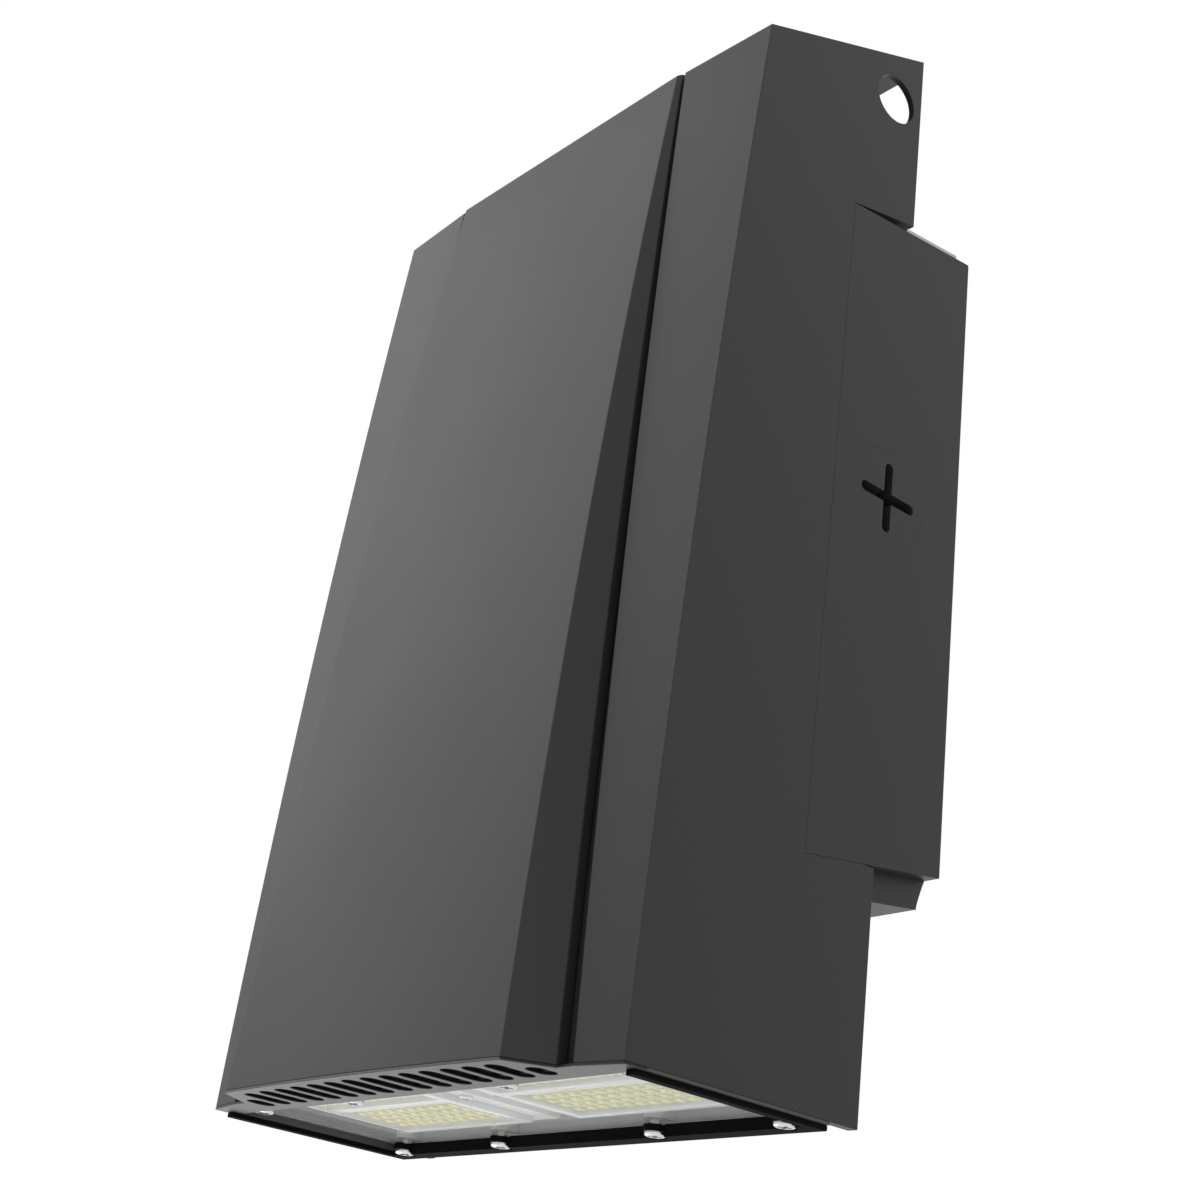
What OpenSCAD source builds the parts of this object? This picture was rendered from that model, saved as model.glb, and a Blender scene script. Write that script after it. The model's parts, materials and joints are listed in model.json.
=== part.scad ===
// Wall pack light: a wide louvre-like head that hangs on a flat wiring box.
// The origin is the centre of the box's wall face: X to the right, Y into the wall, Z up.

/* [Head] */
// Width across the side walls
head_w = 180; // [170:1:200]
// How far the head reaches below the centre of the box
head_drop = 165; // [160:1:180]
// Height of the side walls at their front edge
front_h = 307.3; // [295:0.1:325]
// Fall of the top towards the front, in degrees
top_slope = 22.9; // [15:0.1:30]
// Depth of the side walls at the bottom
side_low = 78; // [74:0.5:90]
// Depth of the side walls at the front top corner
side_high = 66; // [62:0.5:74]
// How far the side walls' front edge bows out
side_bow = 2.15; // [0:0.05:4]
// Distance from the wall to the head's rear edge
wall_gap = 26; // [22:0.5:30]
// Thickness of the cast walls
head_wall = 3; // [2:0.1:4]

/* [Wings and groove] */
// Width of each wing beside the front cover, at the bottom
wing_low = 15.1; // [12:0.1:18]
// Width of each wing at the top
wing_high = 34.4; // [30:0.1:38]
// How far the wing stands forward of the side wall's edge
wing_rise = 2.7; // [1:0.1:4]
// Width of the groove beside the cover, at the bottom
groove_low = 5.9; // [4:0.1:8]
// Width of the groove at the top
groove_high = 1.1; // [0.8:0.1:2]
// Depth of the groove behind the wing
groove_depth = 6; // [4:0.5:8]

/* [Front cover] */
// How far each flank of the cover leans in towards the front face, at the bottom
flank_low = 7.3; // [5:0.1:12]
// How far each flank leans in at the top
flank_high = 1.1; // [0.6:0.1:4]
// Depth of the cover's front edge at the bottom
cover_out_low = 91.8; // [88:0.2:100]
// Depth of the cover's front edge at the top
cover_out_high = 69.6; // [69:0.2:74]
// How far the cover's front edge bows out along its height
cover_bow = 3; // [0:0.1:5]
// Crown of the cover's front face at the bottom
cover_crown = 2; // [0:0.1:4]
// Thickness of the cover
cover_wall = 2.5; // [1.5:0.1:3.5]

/* [Wiring box] */
// Height of the box top above its centre at the wall
box_top = 106.6; // [100:0.2:112]
// Height of the box's side face below its centre at the wall
box_foot = 92.7; // [88:0.2:96]
// Depth of the box from the wall
box_d = 52; // [48:0.5:56]
// Fall of the box top towards the front
box_fall = 5.6; // [2:0.1:8]
// How much lower the side face reaches at the front
box_dip = 8; // [4:0.1:9]
// Thickness of the wall face
box_back = 3.5; // [3:0.1:5]
// How far the neck reaches below the side faces' lower edge
neck_h = 8.4; // [8:0.1:9]
// How far the neck stands back from each side
neck_inset = 5; // [4:0.2:8]
// How far the neck's lower rear edge stands off the wall
neck_off = 3.2; // [2:0.2:6]

/* [Mounting] */
// Spacing of the wall screws across
bolt_x = 130; // [120:1:140]
// Spacing of the wall screws up and down
bolt_z = 150; // [140:1:160]
// Diameter of the wall screw holes
bolt_d = 6.5; // [5:0.1:8]
// Spacing of the junction box screws
junction_x = 88.9; // [80:0.1:95]
// Diameter of the junction box screw holes
junction_d = 5.2; // [4:0.1:6]
// Diameter of the rear wire entry
entry_d = 22.2; // [18:0.1:28]
// Diameter of the round hole in each side of the head
side_hole_d = 16.4; // [14:0.1:18]
// Height of the side holes above the centre of the box
side_hole_z = 148.3; // [146:0.1:150]
// Distance of the side holes from the head's rear edge
side_hole_in = 11.6; // [11:0.1:13]

/* [Side plugs] */
// Diameter of the flush plug flange
plug_d = 30; // [28:0.2:34]
// Diameter of the plug's threaded shank
plug_shank_d = 21; // [20:0.1:23]
// Length of the cross recess
cross_l = 21.9; // [18:0.1:23]
// Width of the cross recess
cross_w = 3.2; // [2.5:0.1:4]
// Height of the plugs above the centre of the box
plug_z = 11.2; // [0:0.1:20]
// Distance of the plugs from the wall
plug_y = 30; // [26:0.1:33]

/* [Hinge and closing] */
// Distance of the hinge line from the wall
hinge_y = 27; // [26.5:0.1:27.5]
// Height of the hinge line below the box's side face at the wall
hinge_drop = 6.3; // [5.8:0.1:6.8]
// Diameter of the hinge pins
hinge_pin_d = 5; // [4:0.1:6]
// Diameter of the closing screws
closing_d = 5; // [4:0.1:6]

/* [Light engine] */
// Thickness of the frame's lip under the head
lip_t = 0.8; // [0.8:0.1:1.5]
// Distance from the head's rear edge to the light engine
engine_in = 10; // [8:0.5:14]
// Number of air slots in the front band
vent_count = 16; // [8:1:17]
// Distance of the outermost air slots' middle from the cover's flanks
vent_side = 6.75; // [6:0.05:12]
// Width of the air slots
vent_w = 6; // [3:0.1:6]
// Distance of the air slots behind the front edge
vent_in = 2.6; // [1:0.1:3]
// Distance of the air slots' rear ends before the groove's floor
vent_back = 0.6; // [0.3:0.1:2]
// Thickness of the lens
lens_t = 1.2; // [1:0.1:1.5]
// Thickness of the black bezel under the lens
bezel_t = 1.4; // [0.8:0.1:1.8]
// Width of the bezel along the sides
bezel_side = 7.6; // [6:0.1:9]
// Width of the bezel along the rear
bezel_rear = 6; // [5:0.1:7]
// Diameter of the lens screw heads
lens_head_d = 6; // [4.5:0.1:6.2]

/* [LED boards] */
// Spacing of the light-emitting chips
chip_pitch = 4.9; // [4.5:0.1:5]
// Width of one chip
chip_w = 3; // [2.5:0.1:3.5]
// Rows in the main group of each board
chip_rows = 5; // [3:1:5]
// Thickness of the LED boards
board_t = 1.6; // [1:0.1:2]

/* [Hidden] */

// Cuts run past the face that they start from by this much
over = 1;
// Clearance between pieces that are fitted to each other
fit = 0.3;
// Clearance between a screw and its hole
screw_fit = 0.15;
// Running clearance on the hinge pins' radius
pin_fit = 0.05;
round_fn = 48;
slices = 12;
paint = "#403f3d";
zinc = "#b9bcbe";
rubber = "#1c1c1c";

// Head: a height above its lower edge as a share of the side walls' front height
head_z = -head_drop;
rear_y = -wall_gap;
function share_at(z) = (z - head_z) / front_h;
function between(a, b, u) = a + (b - a) * u;
function bow(size, u) = 4 * size * u * (1 - u);
function side_y(z) = rear_y - between(side_low, side_high, share_at(z)) - bow(side_bow, share_at(z));
function wing_y(z) = side_y(z) - wing_rise;
function wing_x(z) = head_w / 2 - between(wing_low, wing_high, share_at(z));
function deck_y(z) = wing_y(z) + groove_depth;
function cover_y(z) = rear_y - between(cover_out_low, cover_out_high, share_at(z))
    - bow(cover_bow, share_at(z));
function flank_x(z) = wing_x(z) - between(groove_low, groove_high, share_at(z));
function cover_x(z) = flank_x(z) - between(flank_low, flank_high, share_at(z));
function crown(z) = cover_crown * max(0, 1 - share_at(z));
function top_z(y) = head_z + front_h + (y - rear_y + side_high) * tan(top_slope);
crown_steps = 6;

// Horizontal outlines of the head, from the rear along the right side to the middle
function head_half(z, t, back) = [
    [head_w / 2 - t, back],
    [head_w / 2 - t, side_y(z) + t],
    [wing_x(z) + t, wing_y(z) + t],
    [wing_x(z) + t, deck_y(z) + t]
];
function crown_point(z, t, k) = [
    (cover_x(z) - t) * (1 - k / crown_steps),
    cover_y(z) + t - crown(z) * (1 - pow(1 - k / crown_steps, 2))
];
function cover_half(z, t, back) = concat(
    [[flank_x(z) - t, back], [flank_x(z) - t, wing_y(z) + t]],
    [for (k = [0 : crown_steps - 1]) crown_point(z, t, k)]
);
function both_sides(half) = concat(
    half,
    [for (i = [len(half) - 1 : -1 : 0]) [-half[i][0], half[i][1]]]
);

// Solid through a stack of outlines with the same number of points, its ends covered by cap's triangles
module loft(rows, heights, cap) {
    n = len(rows[0]);
    levels = len(rows);
    last = (levels - 1) * n;
    points = [for (i = [0 : levels - 1]) for (p = rows[i]) [p[0], p[1], heights[i]]];
    polyhedron(
        points = points,
        faces = concat(
            [for (t = cap) [t[0], t[2], t[1]]],
            [for (t = cap) [last + t[0], last + t[1], last + t[2]]],
            [for (i = [0 : levels - 2]) for (j = [0 : n - 1])
                [i * n + j, (i + 1) * n + (j + 1) % n, (i + 1) * n + j]],
            [for (i = [0 : levels - 2]) for (j = [0 : n - 1])
                [i * n + j, i * n + (j + 1) % n, (i + 1) * n + (j + 1) % n]]
        )
    );
}

head_levels = [for (i = [0 : slices]) head_z + (top_z(rear_y) + over - head_z) * i / slices];
function levels_from(low) = [for (i = [0 : slices]) i == 0 ? low : head_levels[i]];
// Triangles that cover the head's outline: each wing from its rear corner, and the deck between them
head_cap = [[0, 1, 2], [0, 2, 3], [0, 3, 4], [0, 4, 7], [7, 4, 5], [7, 5, 6]];
cover_points = 2 * (2 + crown_steps);
cover_cap = [for (j = [1 : cover_points - 2]) [0, j, j + 1]];
module head_loft(t, back, low) {
    levels = levels_from(low);
    loft([for (z = levels) both_sides(head_half(z, t, back))], levels, head_cap);
}
// The cover's outline, reaching back to a distance from the deck
module cover_loft(t, off_deck, low) {
    levels = levels_from(low);
    loft([for (z = levels) both_sides(cover_half(z, t, deck_y(z) + off_deck))], levels, cover_cap);
}

// Shape drawn in Y and Z, standing across X from x0 to x1
module across(x0, x1) {
    translate([x0, 0, 0])
        rotate([90, 0, 90])
            linear_extrude(x1 - x0) children();
}
// Block between two corners
module block(a, b) {
    translate(a) cube(b - a);
}
// Round bar along each axis, from a start point
module bar_x(start, d, l) {
    translate(start) rotate([0, 90, 0]) cylinder(d = d, h = l, $fn = round_fn);
}
module bar_y(start, d, l) {
    translate(start) rotate([-90, 0, 0]) cylinder(d = d, h = l, $fn = round_fn);
}
module bar_z(start, d, l) {
    translate(start) cylinder(d = d, h = l, $fn = round_fn);
}
module mirrored() {
    children();
    mirror([1, 0, 0]) children();
}
// Everything under a plane parallel to the head's top, a depth below it
module under_top(depth) {
    reach = head_w * 2;
    drop = depth / cos(top_slope);
    across(-head_w, head_w)
        polygon([
            [rear_y + reach, top_z(rear_y + reach) - drop],
            [rear_y - reach, top_z(rear_y - reach) - drop],
            [rear_y - reach, head_z - reach],
            [rear_y + reach, head_z - reach]
        ]);
}

// Box: heights of its top and of the side face's lower edge, over the depth
function box_top_z(y) = box_top + box_fall * y / box_d;
function box_foot_z(y) = -box_foot + box_dip * y / box_d;
box_w = head_w;
box_front = -box_d;
neck_w = box_w - 2 * neck_inset;
cavity_front_wall = 5;
cavity_top = box_top_z(box_front) - cavity_front_wall;
cavity_floor = box_foot_z(0) + cavity_front_wall;
cavity_w = box_w - 2 * cavity_front_wall;
chamfer = 0.5;
// The neck's rear follows a cove from the wall face down to its own rear
cove_y_shares = [0.1, 0.42, 0.66, 0.82, 1];
cove_z_shares = [0, 0.3, 0.6, 0.85, 1];
cove = [for (i = [0 : len(cove_y_shares) - 1])
    [-neck_off * cove_y_shares[i], between(-box_foot, box_foot_z(-neck_off) - neck_h, cove_z_shares[i])]];

// Hinge: pairs of ears in the box and one lug of the head between each pair
hinge_z = -box_foot - hinge_drop;
lug_w = 8;
lug_d = 11;
lug_gap = 1;
ear_t = 4;
hinge_in = 22;
hinge_x = head_w / 2 - hinge_in;
pocket_w = lug_w + 2 * lug_gap;
pocket_d = lug_d + 2 * lug_gap;

// Closing: the head's lug, the keeper's ear beside it and the screw through both
closing_y = rear_y - side_hole_in;
closing_in = 30;
closing_x = head_w / 2 - closing_in;
closing_lug_t = 3;
closing_gap = 1;
keeper_t = 1.2;
keeper_ear_t = 3;
keeper_ear_x = closing_x + closing_lug_t + closing_gap;
keeper_ear_w = 12;
keeper_slot_play = 1.6;
keeper_slot = closing_d + keeper_slot_play;
keeper_rear = 5.6;
keeper_side_l = 23;
keeper_reach = 45;
keeper_step = 15;
keeper_mid_w = head_w - 2 * keeper_step;
closing_head_d = 8.4;
closing_head_t = 3.2;
closing_tip = 2;
closing_lug_drop = 8;

// Screws: head and shank diameters of the small machine screws
small_screw_d = 3.5;
small_head_d = 6.5;
small_head_t = 2.2;
recess_w = 1;
recess_share = 0.62;
recess_depth_share = 0.6;

// Cross-recessed pan head screw along +Z, its head's underside at the origin
module screw(d, head_d, head_t, l) {
    slot_l = head_d * recess_share;
    slot_h = head_t * recess_depth_share;
    translate([0, 0, -l]) cylinder(d = d, h = l, $fn = round_fn);
    difference() {
        rotate_extrude($fn = round_fn)
            polygon([
                [0, 0],
                [head_d / 2, 0],
                [head_d / 2, head_t / 2],
                [head_d / 2 - head_t / 4, head_t * 7 / 8],
                [head_d / 4, head_t],
                [0, head_t]
            ]);
        for (turn = [0, 90])
            rotate(turn)
                translate([-slot_l / 2, -recess_w / 2, head_t - slot_h])
                    cube([slot_l, recess_w, head_t]);
    }
}

// Wiring box
bolt_places = [for (x = [-1, 1]) for (z = [-1, 1]) [x * bolt_x / 2, z * bolt_z / 2]];
plug_flange_t = 2.5;
plug_boss_t = 8;
plug_boss_rim = 3;
plug_boss_d = plug_d + 2 * plug_boss_rim;
wall_seal_w = 4;
wall_seal_t = 2;
wall_seal_in = 8;
box_seal_w = 2;
box_seal_t = 2;
box_seal_in = 1.5;
ground_x = 45;
ground_z = 60;
ground_boss_d = 10;
ground_boss_l = 6;
terminal_in = 28;
terminal_x = terminal_in - head_w / 2;
terminal_z = -30;
terminal_size = [26, 14, 34];
terminal_foot = 4;

neck_z = box_foot_z(box_front) - neck_h;
module box_profile() {
    polygon([
        [0, -box_foot],
        [0, box_top - chamfer],
        [-chamfer, box_top_z(-chamfer)],
        [box_front, box_top_z(box_front)],
        [box_front, box_foot_z(box_front)]
    ]);
}
module neck_profile() {
    polygon(concat(
        [[box_front, neck_z], [box_front, -box_foot + chamfer], [-chamfer, -box_foot + chamfer]],
        cove
    ));
}
// Rectangular ring in X and Z between two depths
module frame_ring(x, z0, z1, w, y0, y1) {
    difference() {
        block([-x, y0, z0], [x, y1, z1]);
        block([-x + w, y0 - over, z0 + w], [x - w, y1 + over, z1 - w]);
    }
}
neck_cavity_x = hinge_x - pocket_w / 2 - ear_t;
neck_rib = 3;
module back_box() {
    color(paint)
    difference() {
        union() {
            difference() {
                union() {
                    across(-box_w / 2, box_w / 2) box_profile();
                    across(-neck_w / 2, neck_w / 2) neck_profile();
                }
                block([-cavity_w / 2, box_front - over, cavity_floor], [cavity_w / 2, -box_back, cavity_top]);
                block([-neck_cavity_x, box_front - over, -box_foot - neck_h + neck_rib],
                    [neck_cavity_x, -neck_off - neck_rib, cavity_floor - neck_rib]);
            }
            mirrored()
                bar_x([box_w / 2 - plug_boss_t, -plug_y, plug_z], plug_boss_d, plug_boss_t);
            bar_y([ground_x, -box_back - ground_boss_l, ground_z], ground_boss_d, ground_boss_l + box_back / 2);
        }
        for (p = bolt_places) bar_y([p[0], -box_back - over, p[1]], bolt_d, box_back + 2 * over);
        mirrored() bar_y([junction_x / 2, -box_back - over, 0], junction_d, box_back + 2 * over);
        bar_y([0, -box_back - over, 0], entry_d, box_back + 2 * over);
        bar_y([ground_x, -box_back - ground_boss_l - over, ground_z], small_screw_d + 2 * screw_fit,
            ground_boss_l + over);
        mirrored() {
            bar_x([box_w / 2 - plug_boss_t - over, -plug_y, plug_z], plug_shank_d + 2 * screw_fit,
                plug_boss_t + 2 * over);
            bar_x([box_w / 2 - plug_flange_t - plug_seal_t, -plug_y, plug_z], plug_d + 2 * screw_fit,
                plug_flange_t + plug_seal_t + over);
            block([hinge_x - pocket_w / 2, box_front - over, neck_z - over],
                [hinge_x + pocket_w / 2, -hinge_y + pocket_d / 2, hinge_z + pocket_d / 2]);
            bar_x([hinge_x - pocket_w / 2 - ear_t - over, -hinge_y, hinge_z], hinge_pin_d,
                pocket_w + 2 * ear_t + over);
        }
        frame_ring(box_w / 2 - wall_seal_in, -box_foot + wall_seal_in, box_top - wall_seal_in, wall_seal_w,
            -wall_seal_t, over);
        frame_ring(cavity_w / 2 + box_seal_in + box_seal_w, cavity_floor - box_seal_in - box_seal_w,
            cavity_top + box_seal_in + box_seal_w, box_seal_w, box_front - over, box_front + box_seal_t);
        mirrored() for (y = keeper_screw_ys)
            bar_z([keeper_screw_x, y, box_top_z(y) - keeper_screw_l - over], small_screw_d + 2 * screw_fit,
                keeper_screw_l + 3 * over);
    }
}
module wall_gasket() {
    color(rubber)
        frame_ring(box_w / 2 - wall_seal_in - screw_fit, -box_foot + wall_seal_in + screw_fit,
            box_top - wall_seal_in - screw_fit, wall_seal_w - 2 * screw_fit, -wall_seal_t, 0);
}
module box_gasket() {
    color(rubber)
        frame_ring(cavity_w / 2 + box_seal_in + box_seal_w - screw_fit,
            cavity_floor - box_seal_in - box_seal_w + screw_fit,
            cavity_top + box_seal_in + box_seal_w - screw_fit, box_seal_w - 2 * screw_fit,
            box_front - screw_fit, box_front + box_seal_t);
}

// Side plugs with a cross recess
plug_seal_t = 1;
cross_depth = 1.5;
plug_shank_l = 9;
module plug() {
    difference() {
        union() {
            bar_x([box_w / 2 - plug_flange_t, -plug_y, plug_z], plug_d, plug_flange_t);
            bar_x([box_w / 2 - plug_flange_t - plug_shank_l, -plug_y, plug_z], plug_shank_d,
                plug_shank_l + plug_flange_t / 2);
        }
        for (turn = [0, 90])
            translate([box_w / 2, -plug_y, plug_z])
                rotate([turn, 0, 0])
                    for (end = [-1, 1]) {
                        bar_x([-cross_depth, end * (cross_l - cross_w) / 2, 0], cross_w, cross_depth + over);
                        block([-cross_depth, -(cross_l - cross_w) / 2, -cross_w / 2],
                            [over, (cross_l - cross_w) / 2, cross_w / 2]);
                    }
    }
}
module plug_right() {
    color(paint) plug();
}
module plug_left() {
    color(paint) mirror([1, 0, 0]) plug();
}
module plug_seals() {
    color(rubber)
    mirrored()
        difference() {
            bar_x([box_w / 2 - plug_flange_t - plug_seal_t, -plug_y, plug_z], plug_d, plug_seal_t);
            bar_x([box_w / 2 - plug_flange_t - plug_seal_t - over, -plug_y, plug_z],
                plug_shank_d + 2 * screw_fit, plug_seal_t + 2 * over);
        }
}

// Plate on the box top with an open-slotted ear for each closing screw
keeper_screw_in = 40;
keeper_screw_x = head_w / 2 - keeper_screw_in;
keeper_screw_ys = [-12, -22];
keeper_screw_l = 6;
function keeper_z(y) = box_top_z(y);
module keeper_strip(x, y0, y1) {
    across(-x, x)
        polygon([
            [y0, keeper_z(y0)],
            [y1, keeper_z(y1)],
            [y1, keeper_z(y1) + keeper_t],
            [y0, keeper_z(y0) + keeper_t]
        ]);
}
keeper_edge = 0.4;
module top_keeper() {
    ear_y0 = closing_y - keeper_ear_w / 2;
    ear_y1 = closing_y + keeper_ear_w / 2;
    ear_z1 = side_hole_z + closing_head_d;
    color(zinc)
    difference() {
        union() {
            keeper_strip(box_w / 2 - keeper_edge, -keeper_rear - keeper_side_l, -keeper_rear);
            keeper_strip(keeper_mid_w / 2, -keeper_reach, -keeper_rear);
            mirrored()
                across(keeper_ear_x, keeper_ear_x + keeper_ear_t)
                    polygon([
                        [ear_y0, keeper_z(ear_y0)],
                        [ear_y1, keeper_z(ear_y1)],
                        [ear_y1, ear_z1],
                        [ear_y0, ear_z1]
                    ]);
        }
        mirrored() {
            bar_x([keeper_ear_x - over, closing_y, side_hole_z], keeper_slot, keeper_ear_t + 2 * over);
            block([keeper_ear_x - over, ear_y0 - over, side_hole_z - keeper_slot / 2],
                [keeper_ear_x + keeper_ear_t + over, closing_y, side_hole_z + keeper_slot / 2]);
            for (y = keeper_screw_ys)
                bar_z([keeper_screw_x, y, keeper_z(y) - keeper_t], small_screw_d + 2 * screw_fit, 4 * keeper_t);
        }
    }
}
module keeper_screws() {
    color(zinc)
    mirrored() for (y = keeper_screw_ys)
        translate([keeper_screw_x, y, keeper_z(y) + keeper_t + keeper_seat])
            screw(small_screw_d, small_head_d, small_head_t, keeper_screw_l);
}
// Screw heads on the sloped plate stand this much above their hole's middle
keeper_seat = small_head_d / 2 * box_fall / box_d;

// Pins that carry the head in the box's ears
module hinge_pins() {
    color(zinc)
    mirrored()
        bar_x([hinge_x - pocket_w / 2 - ear_t, -hinge_y, hinge_z], hinge_pin_d, pocket_w + 2 * ear_t);
}

// Supply terminals and earth screw in the box
module terminal_block() {
    y0 = -box_back - terminal_size[1];
    poles = 3;
    pole_w = terminal_size[2] / poles;
    way_d = 4;
    color("ivory")
    difference() {
        block([terminal_x - terminal_size[0] / 2, y0, terminal_z - terminal_size[2] / 2],
            [terminal_x + terminal_size[0] / 2, -box_back, terminal_z + terminal_size[2] / 2]);
        for (i = [0 : poles - 1]) {
            z = terminal_z - terminal_size[2] / 2 + pole_w * (i + 1 / 2);
            bar_x([terminal_x - terminal_size[0] / 2 - over, y0 + terminal_size[1] / 3, z], way_d,
                terminal_size[0] + 2 * over);
            for (side = [-1, 1])
                bar_y([terminal_x + side * terminal_size[0] / 4, y0 - over, z],
                    small_screw_d + 2 * screw_fit, terminal_size[1] / 3 + over);
        }
    }
}
module terminal_screws() {
    y0 = -box_back - terminal_size[1];
    poles = 3;
    pole_w = terminal_size[2] / poles;
    color(zinc)
    for (i = [0 : poles - 1]) for (side = [-1, 1])
        bar_y([terminal_x + side * terminal_size[0] / 4, y0 + over,
            terminal_z - terminal_size[2] / 2 + pole_w * (i + 1 / 2)], small_screw_d, terminal_size[1] / 3 - over);
}
module ground_screw() {
    color("green")
    translate([ground_x, -box_back - ground_boss_l, ground_z])
        rotate([90, 0, 0]) screw(small_screw_d, small_head_d, small_head_t, ground_boss_l - over);
}

// Head casting: side walls, wings, grooves, the deck behind the cover and the sloped top
notch_fit = 0.3;
boss_d = 10;
tray_gap = 1.3;
tray_y = box_front - tray_gap;
tray_t = 2;
tray_front = tray_y - tray_t;
tray_boss_in = 18;
tray_boss_x = head_w / 2 - tray_boss_in;
tray_boss_zs = [-70, 80];
cover_screw_in = 54;
cover_screw_x = head_w / 2 - cover_screw_in;
cover_screw_zs = [-110, 95];
cover_thread_l = 5;
// The notch's lower rear corner, which swings closest to the box, is cut back by this much
corner_relief = 0.6;
relief_l = 4;
module notch_profile() {
    polygon([
        [box_front - notch_fit, box_foot_z(box_front) - notch_fit],
        [box_front - notch_fit, box_top_z(box_front) + notch_fit],
        [rear_y, box_top_z(rear_y) + notch_fit + wedge_rise],
        [rear_y + over, box_top_z(rear_y) + notch_fit + wedge_rise],
        [rear_y + over, box_foot_z(rear_y) - notch_fit - corner_relief],
        [rear_y - relief_l, box_foot_z(rear_y - relief_l) - notch_fit]
    ]);
}
// The slit above the box opens towards the rear by this much
wedge_rise = 2.9;
// Ledge along the slit's upper edge, inside the side wall
ledge_w = 9;
ledge_t = 2;
module ledge_profile() {
    z0 = box_top_z(box_front) + notch_fit;
    z1 = box_top_z(rear_y) + notch_fit + wedge_rise;
    polygon([[box_front, z0], [rear_y, z1], [rear_y, z1 + ledge_t], [box_front, z0 + ledge_t]]);
}
// The side wall is thinner inside round the side hole
hole_land = 2;
land_rim = 4;
// Front face of a wing beside the deck
function wing_face_y(x, z) = between(wing_y(z), side_y(z), (x - wing_x(z)) / (head_w / 2 - wing_x(z)));
module housing() {
    color(paint)
    difference() {
        union() {
            intersection() {
                difference() {
                    head_loft(0, rear_y, head_z);
                    intersection() {
                        head_loft(head_wall, rear_y + over, head_z - over);
                        under_top(head_wall);
                    }
                }
                under_top(0);
            }
            mirrored() {
                for (z = tray_boss_zs) {
                    y0 = wing_face_y(tray_boss_x, z) + head_wall / 2;
                    bar_y([tray_boss_x, y0, z], boss_d, tray_front - y0);
                }
                across(closing_x, closing_x + closing_lug_t) closing_lug_profile();
                across(head_w / 2 - ledge_w, head_w / 2 - head_wall / 2) ledge_profile();
            }
        }
        across(-head_w, head_w) notch_profile();
        mirrored() {
            bar_x([head_w / 2 - head_wall - over, closing_y, side_hole_z], side_hole_d, head_wall + 2 * over);
            bar_x([head_w / 2 - head_wall - over, closing_y, side_hole_z], side_hole_d + land_rim,
                head_wall + over - hole_land);
            bar_x([closing_x - over, closing_y, side_hole_z], closing_d + 2 * screw_fit,
                closing_lug_t + 2 * over);
            for (z = tray_boss_zs)
                bar_y([tray_boss_x, tray_front - tray_screw_l, z], small_screw_d + 2 * screw_fit,
                    tray_screw_l + over);
            for (z = cover_screw_zs)
                bar_y([cover_screw_x, deck_y(z) - over, z], small_screw_d + 2 * screw_fit,
                    head_wall + 2 * over);
        }
    }
}
tray_screw_l = 12;
module closing_lug_profile() {
    y0 = closing_y - boss_d / 2 - over;
    y1 = closing_y + boss_d / 2;
    sink = head_wall / 2;
    polygon([
        [y0, side_hole_z - closing_lug_drop],
        [y1, side_hole_z - closing_lug_drop],
        [y1, top_z(y1) - sink],
        [y0, top_z(y0) - sink]
    ]);
}

// Raised cover on the deck
module front_cover() {
    color(paint)
    union() {
        intersection() {
            difference() {
                cover_loft(0, -fit, head_z);
                intersection() {
                    cover_loft(cover_wall, over, head_z - over);
                    under_top(cover_wall);
                }
            }
            under_top(0);
        }
        mirrored() for (z = cover_screw_zs)
            difference() {
                bar_y([cover_screw_x, cover_y(z) + over, z], boss_d, deck_y(z) - fit - over - cover_y(z));
                bar_y([cover_screw_x, deck_y(z) - fit - cover_thread_l, z], small_screw_d + 2 * screw_fit,
                    cover_thread_l + over);
            }
    }
}
module cover_screws() {
    color(zinc)
    mirrored() for (z = cover_screw_zs)
        translate([cover_screw_x, deck_y(z) + head_wall + fit, z])
            rotate([-90, 0, 0]) screw(small_screw_d, small_head_d, small_head_t, head_wall + cover_thread_l);
}

// Tray that closes the head's electrical room and carries the head on the hinge
driver_size = [62, 22, 140];
driver_x = 8;
driver_z = 5;
tray_w = head_w - 2 * head_wall - 2 * fit;
tray_top = cavity_top + box_seal_in + 2 * box_seal_w;
tray_foot_rise = 2;
tray_foot = hinge_z + tray_foot_rise;
grommet_off = 22;
grommet_x = driver_x - driver_size[0] / 2 - grommet_off;
grommet_z = -60;
grommet_d = 14;
module driver_tray() {
    color(zinc)
    difference() {
        union() {
            block([-tray_w / 2, tray_front, tray_foot], [tray_w / 2, tray_y, tray_top]);
            mirrored()
                hull() {
                    bar_x([hinge_x - lug_w / 2, -hinge_y, hinge_z], lug_d, lug_w);
                    block([hinge_x - lug_w / 2, tray_front, tray_foot],
                        [hinge_x + lug_w / 2, tray_y, hinge_z + lug_d / 2]);
                }
        }
        mirrored() {
            bar_x([hinge_x - lug_w / 2 - over, -hinge_y, hinge_z], hinge_pin_d + 2 * pin_fit, lug_w + 2 * over);
            for (z = tray_boss_zs)
                bar_y([tray_boss_x, tray_front - over, z], small_screw_d + 2 * screw_fit, tray_t + 2 * over);
        }
        bar_y([grommet_x, tray_front - over, grommet_z], grommet_d, tray_t + 2 * over);
    }
}
module tray_screws() {
    color(zinc)
    mirrored() for (z = tray_boss_zs)
        translate([tray_boss_x, tray_y - tray_t, z])
            rotate([-90, 0, 0])
                screw_behind();
}
// Countersunk-style tray screw whose head lies in the tray's thickness
module screw_behind() {
    translate([0, 0, -tray_screw_l + over]) cylinder(d = small_screw_d, h = tray_screw_l, $fn = round_fn);
    translate([0, 0, tray_t]) cylinder(d = small_head_d, h = tray_head_t, $fn = round_fn);
    cylinder(d = small_screw_d, h = tray_t + tray_head_t / 2, $fn = round_fn);
}
tray_head_t = 0.8;

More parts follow.
